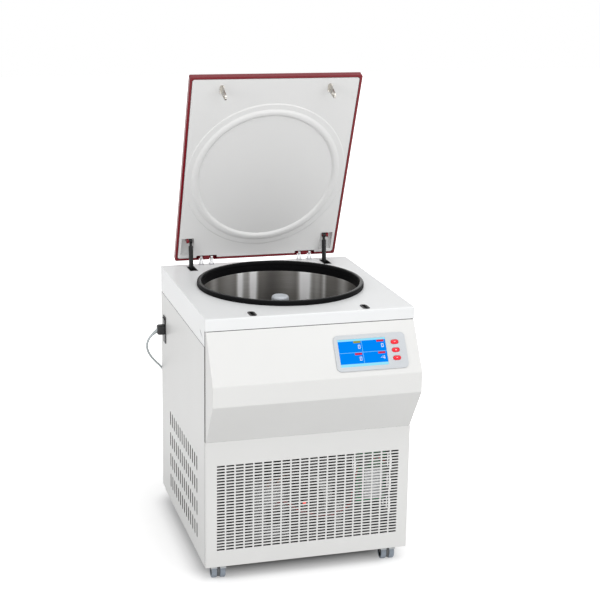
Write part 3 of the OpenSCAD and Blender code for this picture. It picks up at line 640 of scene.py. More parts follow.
# Cooling. A hermetic compressor, its two pressed halves welded round the middle, a
# finned condenser with copper bends, and a black moulded ring with a white lip round
# the fan. The compressor stands on the floor pan on four rubber feet.
shell_grey = coated(
    "compressor_shell", (0.74, 0.75, 0.76), (0.82, 0.83, 0.84), (0.05, 4), (0.006, 0.2, 0.32),
    (0.0015, 0.00003),
)
copper = coated(
    "copper_pipe", (0.62, 0.28, 0.16), (0.8, 0.42, 0.26), (0.02, 4), (0.004, 0.25, 0.25),
    Metallic=1.0,
)
fin_metal = coated(
    "fin_aluminium", (0.55, 0.56, 0.57), (0.72, 0.73, 0.74), (0.004, 0.04, 0.003),
    (0.003, 0.2, 0.35), Metallic=1.0,
)
black_moulding = coated(
    "black_moulding", (0.01, 0.01, 0.011), (0.02, 0.02, 0.021), 0.01, (0.002, 0.18, 0.36),
    (0.0005, 0.00002), Specular_IOR_Level=0.45,
)
white_moulding = coated(
    "white_moulding", (0.82, 0.82, 0.81), (0.88, 0.88, 0.87), 0.03, (0.003, 0.15, 0.38),
    (0.0006, 0.00002), Specular_IOR_Level=0.45,
)
COMPRESSOR_X, COMPRESSOR_Y, FEET_SPREAD, PAN_TOP = -84, -130, 50, 65
pump = Form(shifted(COMPRESSOR_X, COMPRESSOR_Y, 0))
pump.turned(
    [(0, 88), (38, 88), (46, 91), (52, 98), (54.6, 106), (55, 114), (55, 149), (57, 151), (57, 158),
     (55, 160), (55, 220), (54, 230), (51, 239), (45, 246), (36, 251.5), (24, 255.5), (12, 257.5),
     (0, 258)],
    shell_grey, 80,
)
pump.slab(rounded(118, 118, 14), 84, 88, shell_grey, 0.8)
pump.block((-22, -71, 130), (22, -50, 176), black_moulding, 3, 3)
for x in (-FEET_SPREAD, FEET_SPREAD):
    for y in (-FEET_SPREAD, FEET_SPREAD):
        pump.here = shifted(x, y, PAN_TOP)
        pump.turned([(0, 0), (9, 0), (8, 5), (7, 9), (8, 13), (9, 18), (0, 18)], soft_rubber, 28)
        pump.cap_screw(shifted(0, 0, 23), zinc, 4, 3)
pump.here = Matrix()
pump.pipe(smooth_line((
    (20, -30, 246), (24, -34, 262), (38, -30, 269), (58, -10, 264), (78, 10, 248), (90, 30, 226),
)), 4, copper)
pump.pipe(smooth_line((
    (-10, -38, 246), (-14, -46, 264), (0, -52, 277), (40, -44, 281), (74, 0, 274), (92, 30, 258),
)), 3, copper)
pump.piece("compressor_pump", "cabinet", "shroud_white", "compressor")
FAN_X, FAN_Z = 62, 185
CORE_HALF, CORE_FRONT, CORE_BACK, CORE_TOP = 76, -118, -62, 275
FIN_COUNT, FIN_STEP, PIPE_ROWS, PIPE_STEP = 46, 3.2, 8, 24
radiator = Form(shifted(FAN_X, 0, 0))
for x in (-CORE_HALF, CORE_HALF - 1.5):
    radiator.block((x, CORE_FRONT, PAN_TOP), (x + 1.5, CORE_BACK, CORE_TOP), zinc, 0.4)
for low, high in ((PAN_TOP, 67), (273.4, CORE_TOP)):
    radiator.block((-CORE_HALF, CORE_FRONT, low), (CORE_HALF, CORE_BACK, high), zinc, 0.4)
for i in range(FIN_COUNT):
    radiator.block((-72.6 + i * FIN_STEP, -116, 70), (-72.2 + i * FIN_STEP, -64, 270), fin_metal)
for row in range(PIPE_ROWS):
    height = 84 + row * PIPE_STEP
    for y in (-104, -76):
        radiator.rod((-CORE_HALF, y, height), (CORE_HALF, y, height), 4, copper, sides=16)
radiator.piece("condenser_fins", "cabinet", "zinc_steel", "condenser")
ring_moulding = Finish("ring_moulding", Specular_IOR_Level=0.3)
on_duct = (ring_moulding.part("X") > 0.1336) * (ring_moulding.part("Z") < 0.1655)
duct_mottle = ring_moulding.noise(0.03)
ring_moulding.vary(
    ring_moulding.between(
        ring_moulding.between((0.03, 0.03, 0.032), (0.045, 0.045, 0.048), duct_mottle),
        ring_moulding.between((0.82, 0.82, 0.81), (0.88, 0.88, 0.87), duct_mottle), on_duct,
    ),
    ring_moulding.noise(0.003) * 0.15 + 0.42, ring_moulding.noise(0.0006), 0.00002,
)
rolled("fan_ring", "fan_shroud", ring_moulding, 1.2, "shroud_white", 3)


def arc(x, y, radius, start, end, steps=24):
    """Points on an arc about (x, y), from one angle to another in degrees."""
    turns = [math.radians(start + (end - start) * i / steps) for i in range(steps + 1)]
    return [(x + radius * math.cos(a), y + radius * math.sin(a)) for a in turns]


fan_axis = shifted(FAN_X, 0, FAN_Z) @ turned_by(90, "X")
LIP_OUTER, LIP_INNER = (2.8, 6.7, 60.6, -56, 94.5), (-93.3, -27.1, 130.5, 45.5, -7)
LIP_BACK, LIP_FRONT = 145.6, 148
horn = Form(fan_axis)
horn.slab(arc(*LIP_OUTER) + arc(*LIP_INNER), LIP_BACK, LIP_FRONT, white_moulding, 0.6)
for inner, outer in (((-2, 68), (-4, 74)), ((35, -42), (46, -55))):
    horn.rod((*inner, 146.8), (*outer, 146.8), 2.2, white_moulding, sides=16)
horn.piece("fan_horn_lip", "cabinet", "shroud_white")
BLADES, BLADE_ROOT, BLADE_SPAN, BLADE_MIDDLE = 6, 15, 50, 134
ROOT_PITCH, TWIST = 44, 20
blower = Form(fan_axis)
blower.turned(
    [(0, 125), (16.5, 125), (18, 126.5), (18, 141), (16.6, 143.4), (14, 144), (6, 144), (5, 142.6),
     (0, 142.6)], black_moulding, 48,
)
blower.rod((0, 0, 119), (0, 0, 126), 3, bright_steel)
for i in range(BLADES):
    blower.here = turned_by(360 / BLADES * i, "Z")
    sections = []
    for j in range(9):
        reach = BLADE_ROOT + BLADE_SPAN * j / 8
        half_chord = 11.5 + 3 * math.sin(math.pi * j / 8) - (4 if j == 8 else 0)
        pitch = math.radians(ROOT_PITCH - TWIST * j / 8)
        section = []
        for k in range(12):
            a = 2 * math.pi * k / 12
            along, across = half_chord * math.cos(a), 0.8 * math.sin(a) - 1.6 * math.cos(a) ** 2
            section.append((
                along * math.cos(pitch) - across * math.sin(pitch), reach,
                BLADE_MIDDLE + along * math.sin(pitch) + across * math.cos(pitch),
            ))
        sections.append(section)
    blower.stacked(sections, black_moulding)
blower.piece("fan_rotor", "fan", "black_plastic", "fan")


# Controls in the bay. A green board stands on two hangers, with a screened silver
# block and red parts; red and black wires run from it towards the compressor.
board_green = Finish("board_lacquer", Coat_Weight=0.4, Coat_Roughness=0.15)
tracks = board_green.cells(0.0035, output="Color")
board_green.vary(
    board_green.between((0.005, 0.26, 0.07), (0.01, 0.36, 0.11), tracks),
    board_green.noise(0.002) * 0.2 + 0.3, board_green.cells(0.002), 0.00004,
)
lamp_red = Finish("red_lamp", Base_Color=(0.9, 0.02, 0.02, 1), Emission_Strength=1.4)
lamp_red.vary(
    roughness=lamp_red.noise(0.002) * 0.1 + 0.2,
    glow=lamp_red.between((1.0, 0.02, 0.02), (1.0, 0.1, 0.06), lamp_red.noise(0.003)),
)
red_resin = coated(
    "red_resin", (0.55, 0.012, 0.01), (0.72, 0.03, 0.02), 0.004, (0.002, 0.2, 0.25),
    Coat_Weight=0.3,
)
BOARD_FACE, WIRE_Y, LAMP_X, LAMP_Z = -228, -240, 4, 210
board = Form()
board.block((177, BOARD_FACE, 187), (272, -226.4, 359), board_green, 0.2)
board.block((197, -250, 208), (257, BOARD_FACE, 309), zinc, 1.2)
for row in range(6):
    board.block((202, -250.6, 216 + row * 15), (252, -249.4, 223 + row * 15), fin_metal, 0.4)
for z in (316, 336):
    board.block((182, -242, z), (206, BOARD_FACE, z + 14), black_moulding, 0.6)
for x in (224, 248):
    board.here = shifted(x, BOARD_FACE, 342) @ turned_by(90, "X")
    board.turned([(0, 0), (8, 0), (8, 20), (6.6, 22.6), (3.4, 24), (0, 24)], red_resin, 28)
board.here = Matrix()
board.block((261, -240, 318), (269, BOARD_FACE, 332), red_resin, 1.5, 3)
board.block((211, -240, 322), (215, BOARD_FACE, 352), black_moulding, 0.5)
for x, pitch in ((183, 22), (261, 26)):
    for z in range(214, 214 + 4 * pitch, pitch):
        board.block((x, -230.6, z), (x + 7, BOARD_FACE, z + 12), black_moulding, 0.3)
board.piece("control_board_parts", "cabinet", "board_green", "control_board")
wiring = Form()
for i, (colour, drop) in enumerate(((red_resin, 0), (red_resin, 5), (black_moulding, 10))):
    wiring.pipe(smooth_line([
        (182, -234, 320 + drop), (172, -238, 290 - drop), (160, -238, 230 - drop),
        (150, -238, 190 - drop), (90, -232 - i, 160 - drop), (40, WIRE_Y, 168 - drop),
        (-10, WIRE_Y, 188 - drop), (-36, WIRE_Y, 208 - drop), (-66, WIRE_Y, 227 - drop),
        (-78, -224, 214 - drop), (-84, -206, 186 - drop), (-82, -200, 158),
    ]), 1.7, colour, 10)
wiring.rod((LAMP_X, -242, LAMP_Z), (LAMP_X, -232, LAMP_Z), 4.2, lamp_red, edge=1.4, steps=3)
wiring.rod((LAMP_X, -233, LAMP_Z), (LAMP_X, -226, LAMP_Z), 5.4, black_moulding, edge=0.5)
wiring.pipe([(LAMP_X, -228, LAMP_Z - 3), (6, -228, 160), (10, -226, 88)], 2.2, zinc)
wiring.piece("bay_wiring", "cabinet", "black_plastic")


# Chamber. A spun steel bowl sits in foam inside a thick steel ring. Its wall was
# brushed round and round; the upright streaks of light this gives are painted into its colour
# as highlights and dark reflections, and the wall is painted darker towards the bottom as shade.
# A black seal with a matte inner wall and a glossy lip closes the rim.
armour = coated(
    "armour_plate", (0.2, 0.21, 0.23), (0.32, 0.33, 0.35), (0.05, 5), (0.008, 0.25, 0.35),
    Metallic=1.0,
)
foam = Finish("foam_yellow", Roughness=0.9)
foam.vary(
    foam.between((0.62, 0.52, 0.28), (0.74, 0.66, 0.42), foam.noise(0.02, detail=4)),
    relief=foam.cells(0.003), depth=0.0006,
)
rolled("armour_ring_plate", "armour_ring", armour, 0.8, "armour_steel")
rolled("foam_lining", "bowl_insulation", foam, 1.0, "foam")

BOWL_RADIUS, BOWL_FLOOR, BOWL_RIM, FLOOR_BEND = 250, 590, 824, 22
# Painted streaks of light: the angle in the middle, half the width in degrees, and the strength; a
# negative strength paints a dark reflection.
PAINTED_STREAKS = (
    (135.5, 8.0, 0.25), (117, 14.0, 0.14), (107, 4.8, 0.85), (102.0, 3.5, 0.3), (96, 5.6, 1.0),
    (67, 9.0, 0.1), (55, 8.0, 1.15), (45, 6.0, 0.25), (38.6, 3.2, 0.4), (18.5, 9.0, 0.3),
    (81, 9.0, -0.14), (160, 18.0, -0.3), (-2, 16.0, -0.3), (-60, 24.0, 0.4), (-120, 20.0, 0.3),
)
spun = Finish("spun_steel", Metallic=0.25)
along_x, along_y = spun.part("X"), spun.part("Y")
round_angle = spun.maths("ARCTAN2", along_y - CHAMBER_Y / 1000, along_x)
# The painted highlights and dark reflections are summed here by angle round the axis.
sheen = None
for middle, spread, gain in PAINTED_STREAKS:
    far = abs(round_angle - math.radians(middle))
    bump = spun.ease(far, 0.0, math.radians(spread), gain, 0.0)
    sheen = bump if sheen is None else sheen + bump
grain = spun.noise(0.14, 0.14, 0.0011, detail=3)
# Painted shade: the wall is painted darker towards the bottom.
deep = spun.ease(spun.part("Z"), 0.68, 0.8, -0.12, 0.03)
tone = spun.ease(sheen + grain * 0.2 + deep, -0.3, 1.2)
spun.vary(
    spun.node(
        "ShaderNodeValToRGB",
        {"stops": ((0.0, (0.055, 0.052, 0.05)), (0.2, (0.19, 0.18, 0.168)),
                   (0.45, (0.4, 0.39, 0.375)), (0.85, (1.0, 1.0, 1.0)))}, {0: tone},
    ),
    grain * 0.14 + 0.42, grain, 0.00001,
)
bowl = Form(chamber_axis)
corner = arc(BOWL_RADIUS - FLOOR_BEND, BOWL_FLOOR + FLOOR_BEND, FLOOR_BEND, -90, 0, 10)
bowl.turned(
    [(61.5, BOWL_FLOOR - 1.5), (228, BOWL_FLOOR - 1.5), (244, BOWL_FLOOR + 4),
     (251.5, BOWL_FLOOR + 22), (251.5, 822), (262, 822), (262, BOWL_RIM), (251, BOWL_RIM),
     (BOWL_RADIUS, BOWL_RIM - 1), *reversed(corner), (64, BOWL_FLOOR), (61.5, BOWL_FLOOR + 0.6)],
    spun, 192,
)
bowl.piece("chamber_bowl_spun", "cabinet", "chamber_steel", "chamber_bowl")

LIP_LOW, LIP_HIGH = 0.8555, 0.8575
seal_black = Finish("seal_rubber", Specular_IOR_Level=0.06, Coat_Roughness=0.1)
lip = seal_black.ease(seal_black.part("Z"), LIP_LOW, LIP_HIGH)
seal_black.vary(
    seal_black.between(
        (0.0025, 0.0025, 0.003), (0.0045, 0.0045, 0.005), seal_black.noise(0.02, detail=3),
    ),
    seal_black.noise(0.004) * 0.12 + 0.5, seal_black.noise(0.0012), 0.00003, coat=lip * 0.6,
)
seal = Form(chamber_axis)
seal.turned(
    [(250.6, 824), (257.5, 824), (257.5, 842), (265.8, 842), (266.8, 843), (266.8, 850.6),
     (266.4, 853), (265.2, 855.4), (263, 857.2), (260.4, 858), (257.4, 858), (254.8, 857.2),
     (252.6, 855.2), (251.2, 852.6), (250.6, 849.6), (250.6, 846), (251.4, 844.4), (251.4, 842.6),
     (250.6, 841)],
    seal_black, 192,
)
seal.piece("chamber_seal_ring", "cabinet", "seal_rubber", "chamber_seal")


# Rotor. A milled aluminium yoke with a domed cap sits on the shaft; two deep plate
# carriers hang on its pins and swing out level at speed.
milled = coated(
    "milled_alloy", (0.66, 0.68, 0.71), (0.8, 0.82, 0.84), (0.0012, 0.03, 0.0012),
    ((0.0006, 0.02, 0.0006), 0.2, 0.24), Metallic=1.0,
)
anodised = coated(
    "anodised_alloy", (0.44, 0.46, 0.5), (0.52, 0.54, 0.58), (0.03, 4), (0.0015, 0.2, 0.32),
    (0.0005, 0.00001), Metallic=0.85,
)
cap_grey = coated(
    "cap_anodised", (0.52, 0.55, 0.59), (0.6, 0.63, 0.67), (0.02, 3), (0.0015, 0.15, 0.42),
    (0.0005, 0.00001), Metallic=0.35,
)
PIN_Z, PIN_X, BAR_Y = 702, 132, 88
yoke = Form(chamber_axis)
yoke.turned(
    [(12.3, 640), (33, 640), (34, 641), (34, 747), (33, 748), (12.3, 748)],
    milled, 72,
)
yoke.turned(
    [(0, 745.6), (28, 747.5), (28, 796)]
    + arc(19, 797, 9, 0, 90, 6)
    + [(9, 806), (8, 805.2), (0, 805.2)],
    cap_grey, 72,
)
for side in (-1, 1):
    y = side * BAR_Y
    yoke.block((-PIN_X - 20, y - 6, PIN_Z - 18), (PIN_X + 20, y + 6, PIN_Z + 12), milled, 2.4, 3)
    for x in (-PIN_X, PIN_X):
        yoke.rod((x, side * 66.5, PIN_Z), (x, side * 84, PIN_Z), 6, bright_steel, edge=0.8)
        yoke.cap_screw(shifted(x, side * 94, PIN_Z) @ turned_by(-90 * side, "X"), zinc, 5, 3)
for side in (-1, 1):
    near, far = sorted((side * 32, side * 84))
    yoke.block((-30, near, PIN_Z - 18), (30, far, PIN_Z + 12), milled, 2.0)
yoke.piece("rotor_yoke_milled", "rotor", "rotor_alloy", "rotor_yoke")
for side in ("left", "right"):
    rolled(f"carrier_{side}", f"plate_carrier_{side}", anodised, 1.6, "carrier_alloy", 3)


# Cabinet. Sheets of 2 mm steel, laser-cut and folded with small bends, then powder
# coated off-white outside and primed inside; the top cover has a smoother, cooler coat.
# What lies this far in, in metres, has the undercoat, painted near black as the shade inside
# the bay and in the slots' walls; the front corners are painted with the outer coat.
SIDE_IN, FRONT_IN, REAR_IN, CORNER_X, CORNER_Y = 0.3248, -0.29685, 0.386, 0.3205, -0.288
off_white = Finish("off_white_powder")
off_middle = abs(off_white.part("X"))
along_y = off_white.part("Y")
off_corner = off_white.maths("MAXIMUM", off_middle < CORNER_X, along_y > CORNER_Y)
inside = (off_middle < SIDE_IN) * (along_y > FRONT_IN) * (along_y < REAR_IN) * off_corner
off_white.vary(
    off_white.between((0.69, 0.69, 0.68), (0.73, 0.73, 0.72), off_white.noise(0.25, detail=3)),
    off_white.noise(0.006, detail=4) * 0.12 + 0.36, off_white.noise(0.0016, detail=3), 0.00002,
)
# Painted shade: the inner faces and the slots' walls are painted near black.
shade_undercoat = off_white.node("ShaderNodeBsdfPrincipled", None, {
    "Base Color": off_white.between(
        (0.014, 0.015, 0.017), (0.024, 0.025, 0.027), off_white.noise(0.1),
    ),
    "Roughness": 0.8, "Specular IOR Level": 0.08,
})
coat_and_painted_shade = off_white.node(
    "ShaderNodeMixShader", None, {0: inside, 1: off_white.shader, 2: shade_undercoat},
)
off_white.join(coat_and_painted_shade, off_white.out.inputs["Surface"])
cool_white = coated(
    "cool_white_powder", (0.76, 0.77, 0.775), (0.8, 0.81, 0.815), (0.25, 3),
    ((0.006, 4), 0.1, 0.28), ((0.0016, 3), 0.000015),
)
rolled("front_panel_slotted", "front_grille", off_white, 0.35, "cabinet_paint")
PANEL_FOOT, PANEL_TOP, PANEL_FRONT, FOLD_BACK = 53, 459.6, -296.95, -286.4
returns = Form()
for side in (1, -1):
    low, high = sorted((side * 322.8, side * 325))
    returns.block((low, PANEL_FRONT, PANEL_FOOT), (high, FOLD_BACK, PANEL_TOP), off_white, 1.0)
returns.piece("front_panel_returns", "cabinet", "cabinet_paint")
rolled("control_fascia", "fascia", off_white, 1.0, "cabinet_paint")
for side in ("left", "right"):
    rolled(f"{side}_panel_slotted", f"side_panel_{side}", off_white, 0.4, "cabinet_paint")
rolled("rear_panel_vented", "rear_cover", off_white, 0.8, "cabinet_paint")
rolled("top_cover_folded", "top_cover", cool_white, 0.7, "cabinet_paint", 3)
screws = Form()
for x in (-300, 300):
    for z in (90, 400, 720):
        screws.cap_screw(shifted(x, 386, z) @ turned_by(-90, "X"), zinc, 5, 2)
screws.piece("panel_screw_heads", "cabinet", "zinc_steel", "panel_screws")


# Control face. A moulded bezel snaps into the fascia's window, round a bright colour
# screen and three domed red keys.
FRONT_Y, BROW_Z, SLOPE_DROP, SLOPE_REACH = -297, 805, 141, 91
SLOPE = math.degrees(math.atan2(SLOPE_DROP, SLOPE_REACH))
slope = shifted(0, FRONT_Y, BROW_Z) @ turned_by(SLOPE, "X")
bezel_grey = coated(
    "bezel_plastic", (0.51, 0.535, 0.56), (0.56, 0.585, 0.61), 0.05, (0.003, 0.12, 0.3),
    (0.0006, 0.00001),
)
rolled("display_bezel_frame", "display_bezel", bezel_grey, 1.2, "bezel_plastic", 3)


def screen_colour(name, dark, pale):
    """Light from one colour of the picture, a little uneven as a panel is."""
    made = Finish(
        name, Base_Color=(0.0, 0.0, 0.0, 1), Roughness=0.2, Specular_IOR_Level=0.0,
        Emission_Strength=1.0,
    )
    return made.vary(glow=made.between(dark, pale, made.noise(0.03)))


screen_blue = screen_colour("picture_blue", (0.0, 0.235, 0.93), (0.0, 0.265, 0.97))
screen_pale = screen_colour("picture_pale", (0.29, 0.77, 0.97), (0.34, 0.82, 1.0))
screen_white = screen_colour("picture_white", (0.92, 0.96, 1.0), (1.0, 1.0, 1.0))
screen_red = screen_colour("picture_red", (0.6, 0.02, 0.06), (0.7, 0.04, 0.08))
screen_olive = screen_colour("picture_olive", (0.3, 0.3, 0.04), (0.4, 0.38, 0.06))
SCREEN_X, SCREEN_Y, SCREEN_RIGHT, SCREEN_TOP = 145, -95.25, 75, 42.75
picture = Form(slope @ shifted(SCREEN_X, SCREEN_Y, 0))
picture.block((-SCREEN_RIGHT, -SCREEN_TOP, -1), (SCREEN_RIGHT, SCREEN_TOP, 0.9), screen_blue, 0.1)


def tile(left, low, right, high, colour, lift=0.0):
    picture.block((left, low, 0.85), (right, high, 0.95 + lift), colour)


def figure(strokes, x, y, size):
    """A numeral made of straight strokes, about (x, y)."""
    for left, low, right, high in strokes:
        tile(x + left * size, y + low * size, x + right * size, y + high * size, screen_white, 0.04)


ZERO = (
    (-0.3, -0.5, -0.18, 0.5), (0.18, -0.5, 0.3, 0.5),
    (-0.3, 0.38, 0.3, 0.5), (-0.3, -0.5, 0.3, -0.38),
)
FOUR = ((0.08, -0.5, 0.2, 0.5), (-0.34, -0.2, 0.34, -0.08), (-0.34, -0.2, -0.22, 0.42))
DASH = ((-0.9, -0.06, -0.52, 0.06),)
tile(-SCREEN_RIGHT, 36.75, SCREEN_RIGHT, SCREEN_TOP, screen_pale)
tile(-SCREEN_RIGHT, -SCREEN_TOP, SCREEN_RIGHT, -33.75, screen_pale)
tile(-0.4, -33.75, 0.4, 36.75, screen_pale)
tile(-SCREEN_RIGHT, 0.4, SCREEN_RIGHT, 1.2, screen_pale)
for x, y, tag, strokes in (
    (-14.5, 33.25, screen_olive, ZERO), (58.6, 33.25, screen_red, ZERO),
    (-14.5, -3.75, screen_red, ZERO), (58.6, -3.75, screen_red, FOUR + DASH),
):
    tile(x - 11.2, y - 3.25, x + 11.2, y + 3.25, tag, 0.02)
    figure(strokes, x + 5.5, y - 15, 11.5)
picture.piece("display_picture", "cabinet", "screen_glass", "display_screen")

key_red = coated(
    "key_red", (0.76, 0.002, 0.016), (0.84, 0.004, 0.024), 0.01, (0.003, 0.1, 0.22),
    (0.0008, 0.00001), Specular_IOR_Level=0.3, Coat_Weight=0.2, Coat_Roughness=0.1,
)
mark_white = coated("mark_white", (0.8, 0.8, 0.8), (0.9, 0.9, 0.9), 0.002, (0.001, 0.2, 0.4))
KEY_X, KEY_ROWS, KEY_LENGTH, KEY_WIDTH = 248.5, (-69.7, -94.8, -119.8), 25, 14
for number, y in enumerate(KEY_ROWS, 1):
    key = Form(slope @ shifted(KEY_X, y, 0))
    rings = []
    for z, inset in ((-7, 0), (2.2, 0), (3.2, 0.35), (3.9, 1.1), (4.3, 2.4), (4.5, 4.6)):
        outline = rounded(
            KEY_LENGTH - 2 * inset, KEY_WIDTH - 2 * inset, KEY_WIDTH / 2 - inset - 0.01, 8,
        )
        rings.append([(px, py, z) for px, py in outline])
    key.stacked(rings, key_red)
    key.slab(rounded(4.4, 1.2, 0.5, 3), 4.44, 4.52, mark_white)
    if number == 2:
        key.slab(rounded(1.2, 4.4, 0.5, 3), 4.44, 4.52, mark_white)
    key.piece(f"key_cap_{number}", f"button_{number}", "key_red", f"button_{number}", sharp=50)


# Latches and hardware on the cover. Moulded sockets with sprung steel bolts, moulded
# trims round the gas springs, brackets below them, and turned hinge posts.
rolled("latch_socket_pair", "latch_sockets", black_moulding, 0.7, "black_plastic", 3)
rolled("spring_trim_pair", "strut_trims", black_moulding, 0.7, "black_plastic")
rolled("spring_bracket_pair", "strut_brackets", zinc, 0.5, "zinc_steel")
for side in ("left", "right"):
    rolled(f"bolt_{side}", f"latch_bolt_{side}", bright_steel, 0.9, "zinc_steel", 3)
KNUCKLE_X, POST_GAP, HINGE_Y, HINGE_Z, COVER_TOP = 172, 18, 375, 866.2, 842
posts = Form()
for side in (-1, 1):
    for offset in (-POST_GAP, POST_GAP):
        posts.here = shifted(side * (KNUCKLE_X + offset), HINGE_Y, COVER_TOP)
        posts.slab(rounded(16, 18, 3), 0, 3, zinc, 0.6)
        posts.turned(
            [(0, 2), (8.4, 2), (8.6, 3.4), (7.4, 5.4), (5.0, 17), (4.8, 18.4), (0, 18.4)],
             bright_steel, 32,
        )
        posts.here = posts.here @ shifted(0, 0, HINGE_Z - COVER_TOP) @ turned_by(90, "Y")
        posts.turned(
            [(0, -4.5), (4.0, -4.5), (5.6, -3.6), (6, -2), (6, 2), (5.6, 3.6), (4.0, 4.5),
             (0, 4.5)],
            bright_steel, 36,
        )
posts.piece("hinge_post_set", "cabinet", "rod_chrome", "hinge_posts")


# Lid. A deep-drawn shell sprayed crimson, with a vacuum-formed grey liner whose raised
# ring presses on the seal, two nickel-plated hooks and crimson hinge arms.
crimson = coated(
    "crimson_paint", (0.155, 0.001, 0.007), (0.2, 0.002, 0.01), (0.2, 3),
    ((0.008, 3), 0.12, 0.3), (0.0018, 0.00002), Specular_IOR_Level=0.3, Coat_Weight=0.12,
    Coat_Roughness=0.2,
)
liner_grey = coated(
    "liner_sheet", (0.74, 0.74, 0.735), (0.78, 0.78, 0.775), (0.3, 3), ((0.008, 3), 0.1, 0.42),
    ((0.0009, 3), 0.00003), Specular_IOR_Level=0.45,
)
nickel = coated(
    "nickel_plate", (0.42, 0.4, 0.37), (0.56, 0.54, 0.5), 0.006, (0.003, 0.15, 0.16),
    Metallic=1.0,
)
rolled("lid_outer_shell", "lid_shell", crimson, 1.4, "lid_paint", 3)
rolled("lid_inner_liner", "lid_liner", liner_grey, 1.6, "liner_plastic", 4)
rolled("lid_hook_pair", "lid_hooks", nickel, 0.9, "hook_nickel", 3)
rolled("lid_hinge_pair", "lid_hinges", crimson, 0.6, "zinc_steel")


# Gas springs. Black-painted tubes with crimped ends and eyes at the lid; their hard
# chrome rods go down through the trims to the brackets.
spring_black = coated(
    "spring_enamel", (0.004, 0.004, 0.0045), (0.009, 0.009, 0.0095), 0.02, (0.003, 0.12, 0.26),
    (0.0012, 0.00002), Specular_IOR_Level=0.25, Coat_Weight=0.08, Coat_Roughness=0.2,
)
chrome = coated(
    "hard_chrome", (0.72, 0.73, 0.75), (0.82, 0.83, 0.85), (0.02, 0.02, 0.001),
    ((0.02, 0.02, 0.0008), 0.06, 0.06), Metallic=1.0,
)
STRUT_X, STRUT_TOP_Y, STRUT_TOP_Z, STRUT_LEAN = 232, 343.207, 931.009, 5.421
STRUT_LENGTH, TUBE_END = 372.676, 215
for side, sign in (("left", -1), ("right", 1)):
    spring = shifted(sign * STRUT_X, STRUT_TOP_Y, STRUT_TOP_Z) @ turned_by(-STRUT_LEAN, "X")
    tube = Form(spring)
    tube.turned([(0, -20), (4.5, -20), (4.5, -6), (0, -6)], spring_black, 28)
    tube.turned(
        [(4.2, -TUBE_END), (6.2, -TUBE_END), (7.1, -213.6), (7.2, -208), (6.9, -206.5), (7.5, -205),
         (7.5, -19.4), (7.1, -17.2), (5.8, -16), (0, -16), (0, -34), (6.3, -35), (6.3, -204),
         (4.2, -206)],
        spring_black, 40,
    )
    tube.here = turned_by(90, "Y")
    tube.turned([(4.1, -5), (7.4, -5), (8, -4.4), (8, 4.4), (7.4, 5), (4.1, 5)], spring_black, 36)
    tube.piece(f"spring_tube_{side}", f"gas_tube_{side}", "spring_black", f"gas_tube_{side}")
    rod = Form(spring)
    rod.turned(
        [(0, 6 - STRUT_LENGTH), (4, 6 - STRUT_LENGTH), (4, -128), (5.8, -128), (6.2, -127.4),
         (6.2, -120.6), (5.8, -120), (0, -120)], chrome, 32,
    )
    rod.here = shifted(0, 0, -STRUT_LENGTH) @ turned_by(90, "Y")
    rod.turned([(0, -5), (7.4, -5), (8, -4.4), (8, 4.4), (7.4, 5), (0, 5)], chrome, 36)
    rod.turned([(0, -17), (3.4, -17), (4, -16.4), (4, 16.4), (3.4, 17), (0, 17)], bright_steel, 24)
    rod.piece(f"spring_rod_{side}", f"gas_rod_{side}", "rod_chrome", f"gas_rod_{side}")


# Mains. An inlet block with its rocker switch snaps into the left wall; the moulded
# connector's cord goes down behind the cabinet and lies coiled on the floor.
rolled("inlet_block", "inlet_panel", black_moulding, 0.8, "black_plastic")
rolled("rocker_key", "power_rocker", black_moulding, 0.6, "black_plastic", 3)
SOCKET_X, SOCKET_Y, SOCKET_Z, RELIEF_TILT = -325, 320, 638.5, 40
cord_grey = coated(
    "cord_sheath", (0.5, 0.54, 0.55), (0.58, 0.62, 0.63), (0.02, 3), (0.003, 0.15, 0.38),
    (0.0009, 0.00002), Specular_IOR_Level=0.4,
)
connector = Form(shifted(SOCKET_X, SOCKET_Y, SOCKET_Z) @ turned_by(-90, "Y"))
connector.slab(rounded(29.4, 20.4, 3), -14, 5, black_moulding, 0.5)
body_rings = [
    [(px, py, z) for px, py in rounded(33 - 2 * inset, 25 - 2 * inset, 5 - inset, 6)]
    for z, inset in ((4, 1.0), (4.8, 0.3), (6, 0.0), (20, 0.0), (24, 0.6), (26.4, 1.8), (28, 4.0))
]
connector.stacked(body_rings, black_moulding)
for row in range(4):
    for sign in (-1, 1):
        connector.block(
            (-11, sign * 12.5 - 0.5, 8.5 + row * 3.2), (11, sign * 12.5 + 0.35, 10 + row * 3.2),
            black_moulding, 0.3,
        )
connector.here = shifted(-1.5, 0, 27) @ turned_by(-RELIEF_TILT, "Y")
relief = [(0, -8), (7, -8)]
for ring in range(6):
    low = ring * 3.8
    radius = 6.5 - 1.6 * low / 23
    relief += [
        (radius, low), (radius - 0.1, low + 2.5),
        (radius - 1.0, low + 2.7), (radius - 1.0, low + 3.7),
    ]
connector.turned([*relief[:-1], (4.8, 23), (0, 23)], cord_grey, 28)
connector_piece = connector.piece(
    "cord_connector_moulding", "cabinet", "black_plastic", "cord_connector",
)

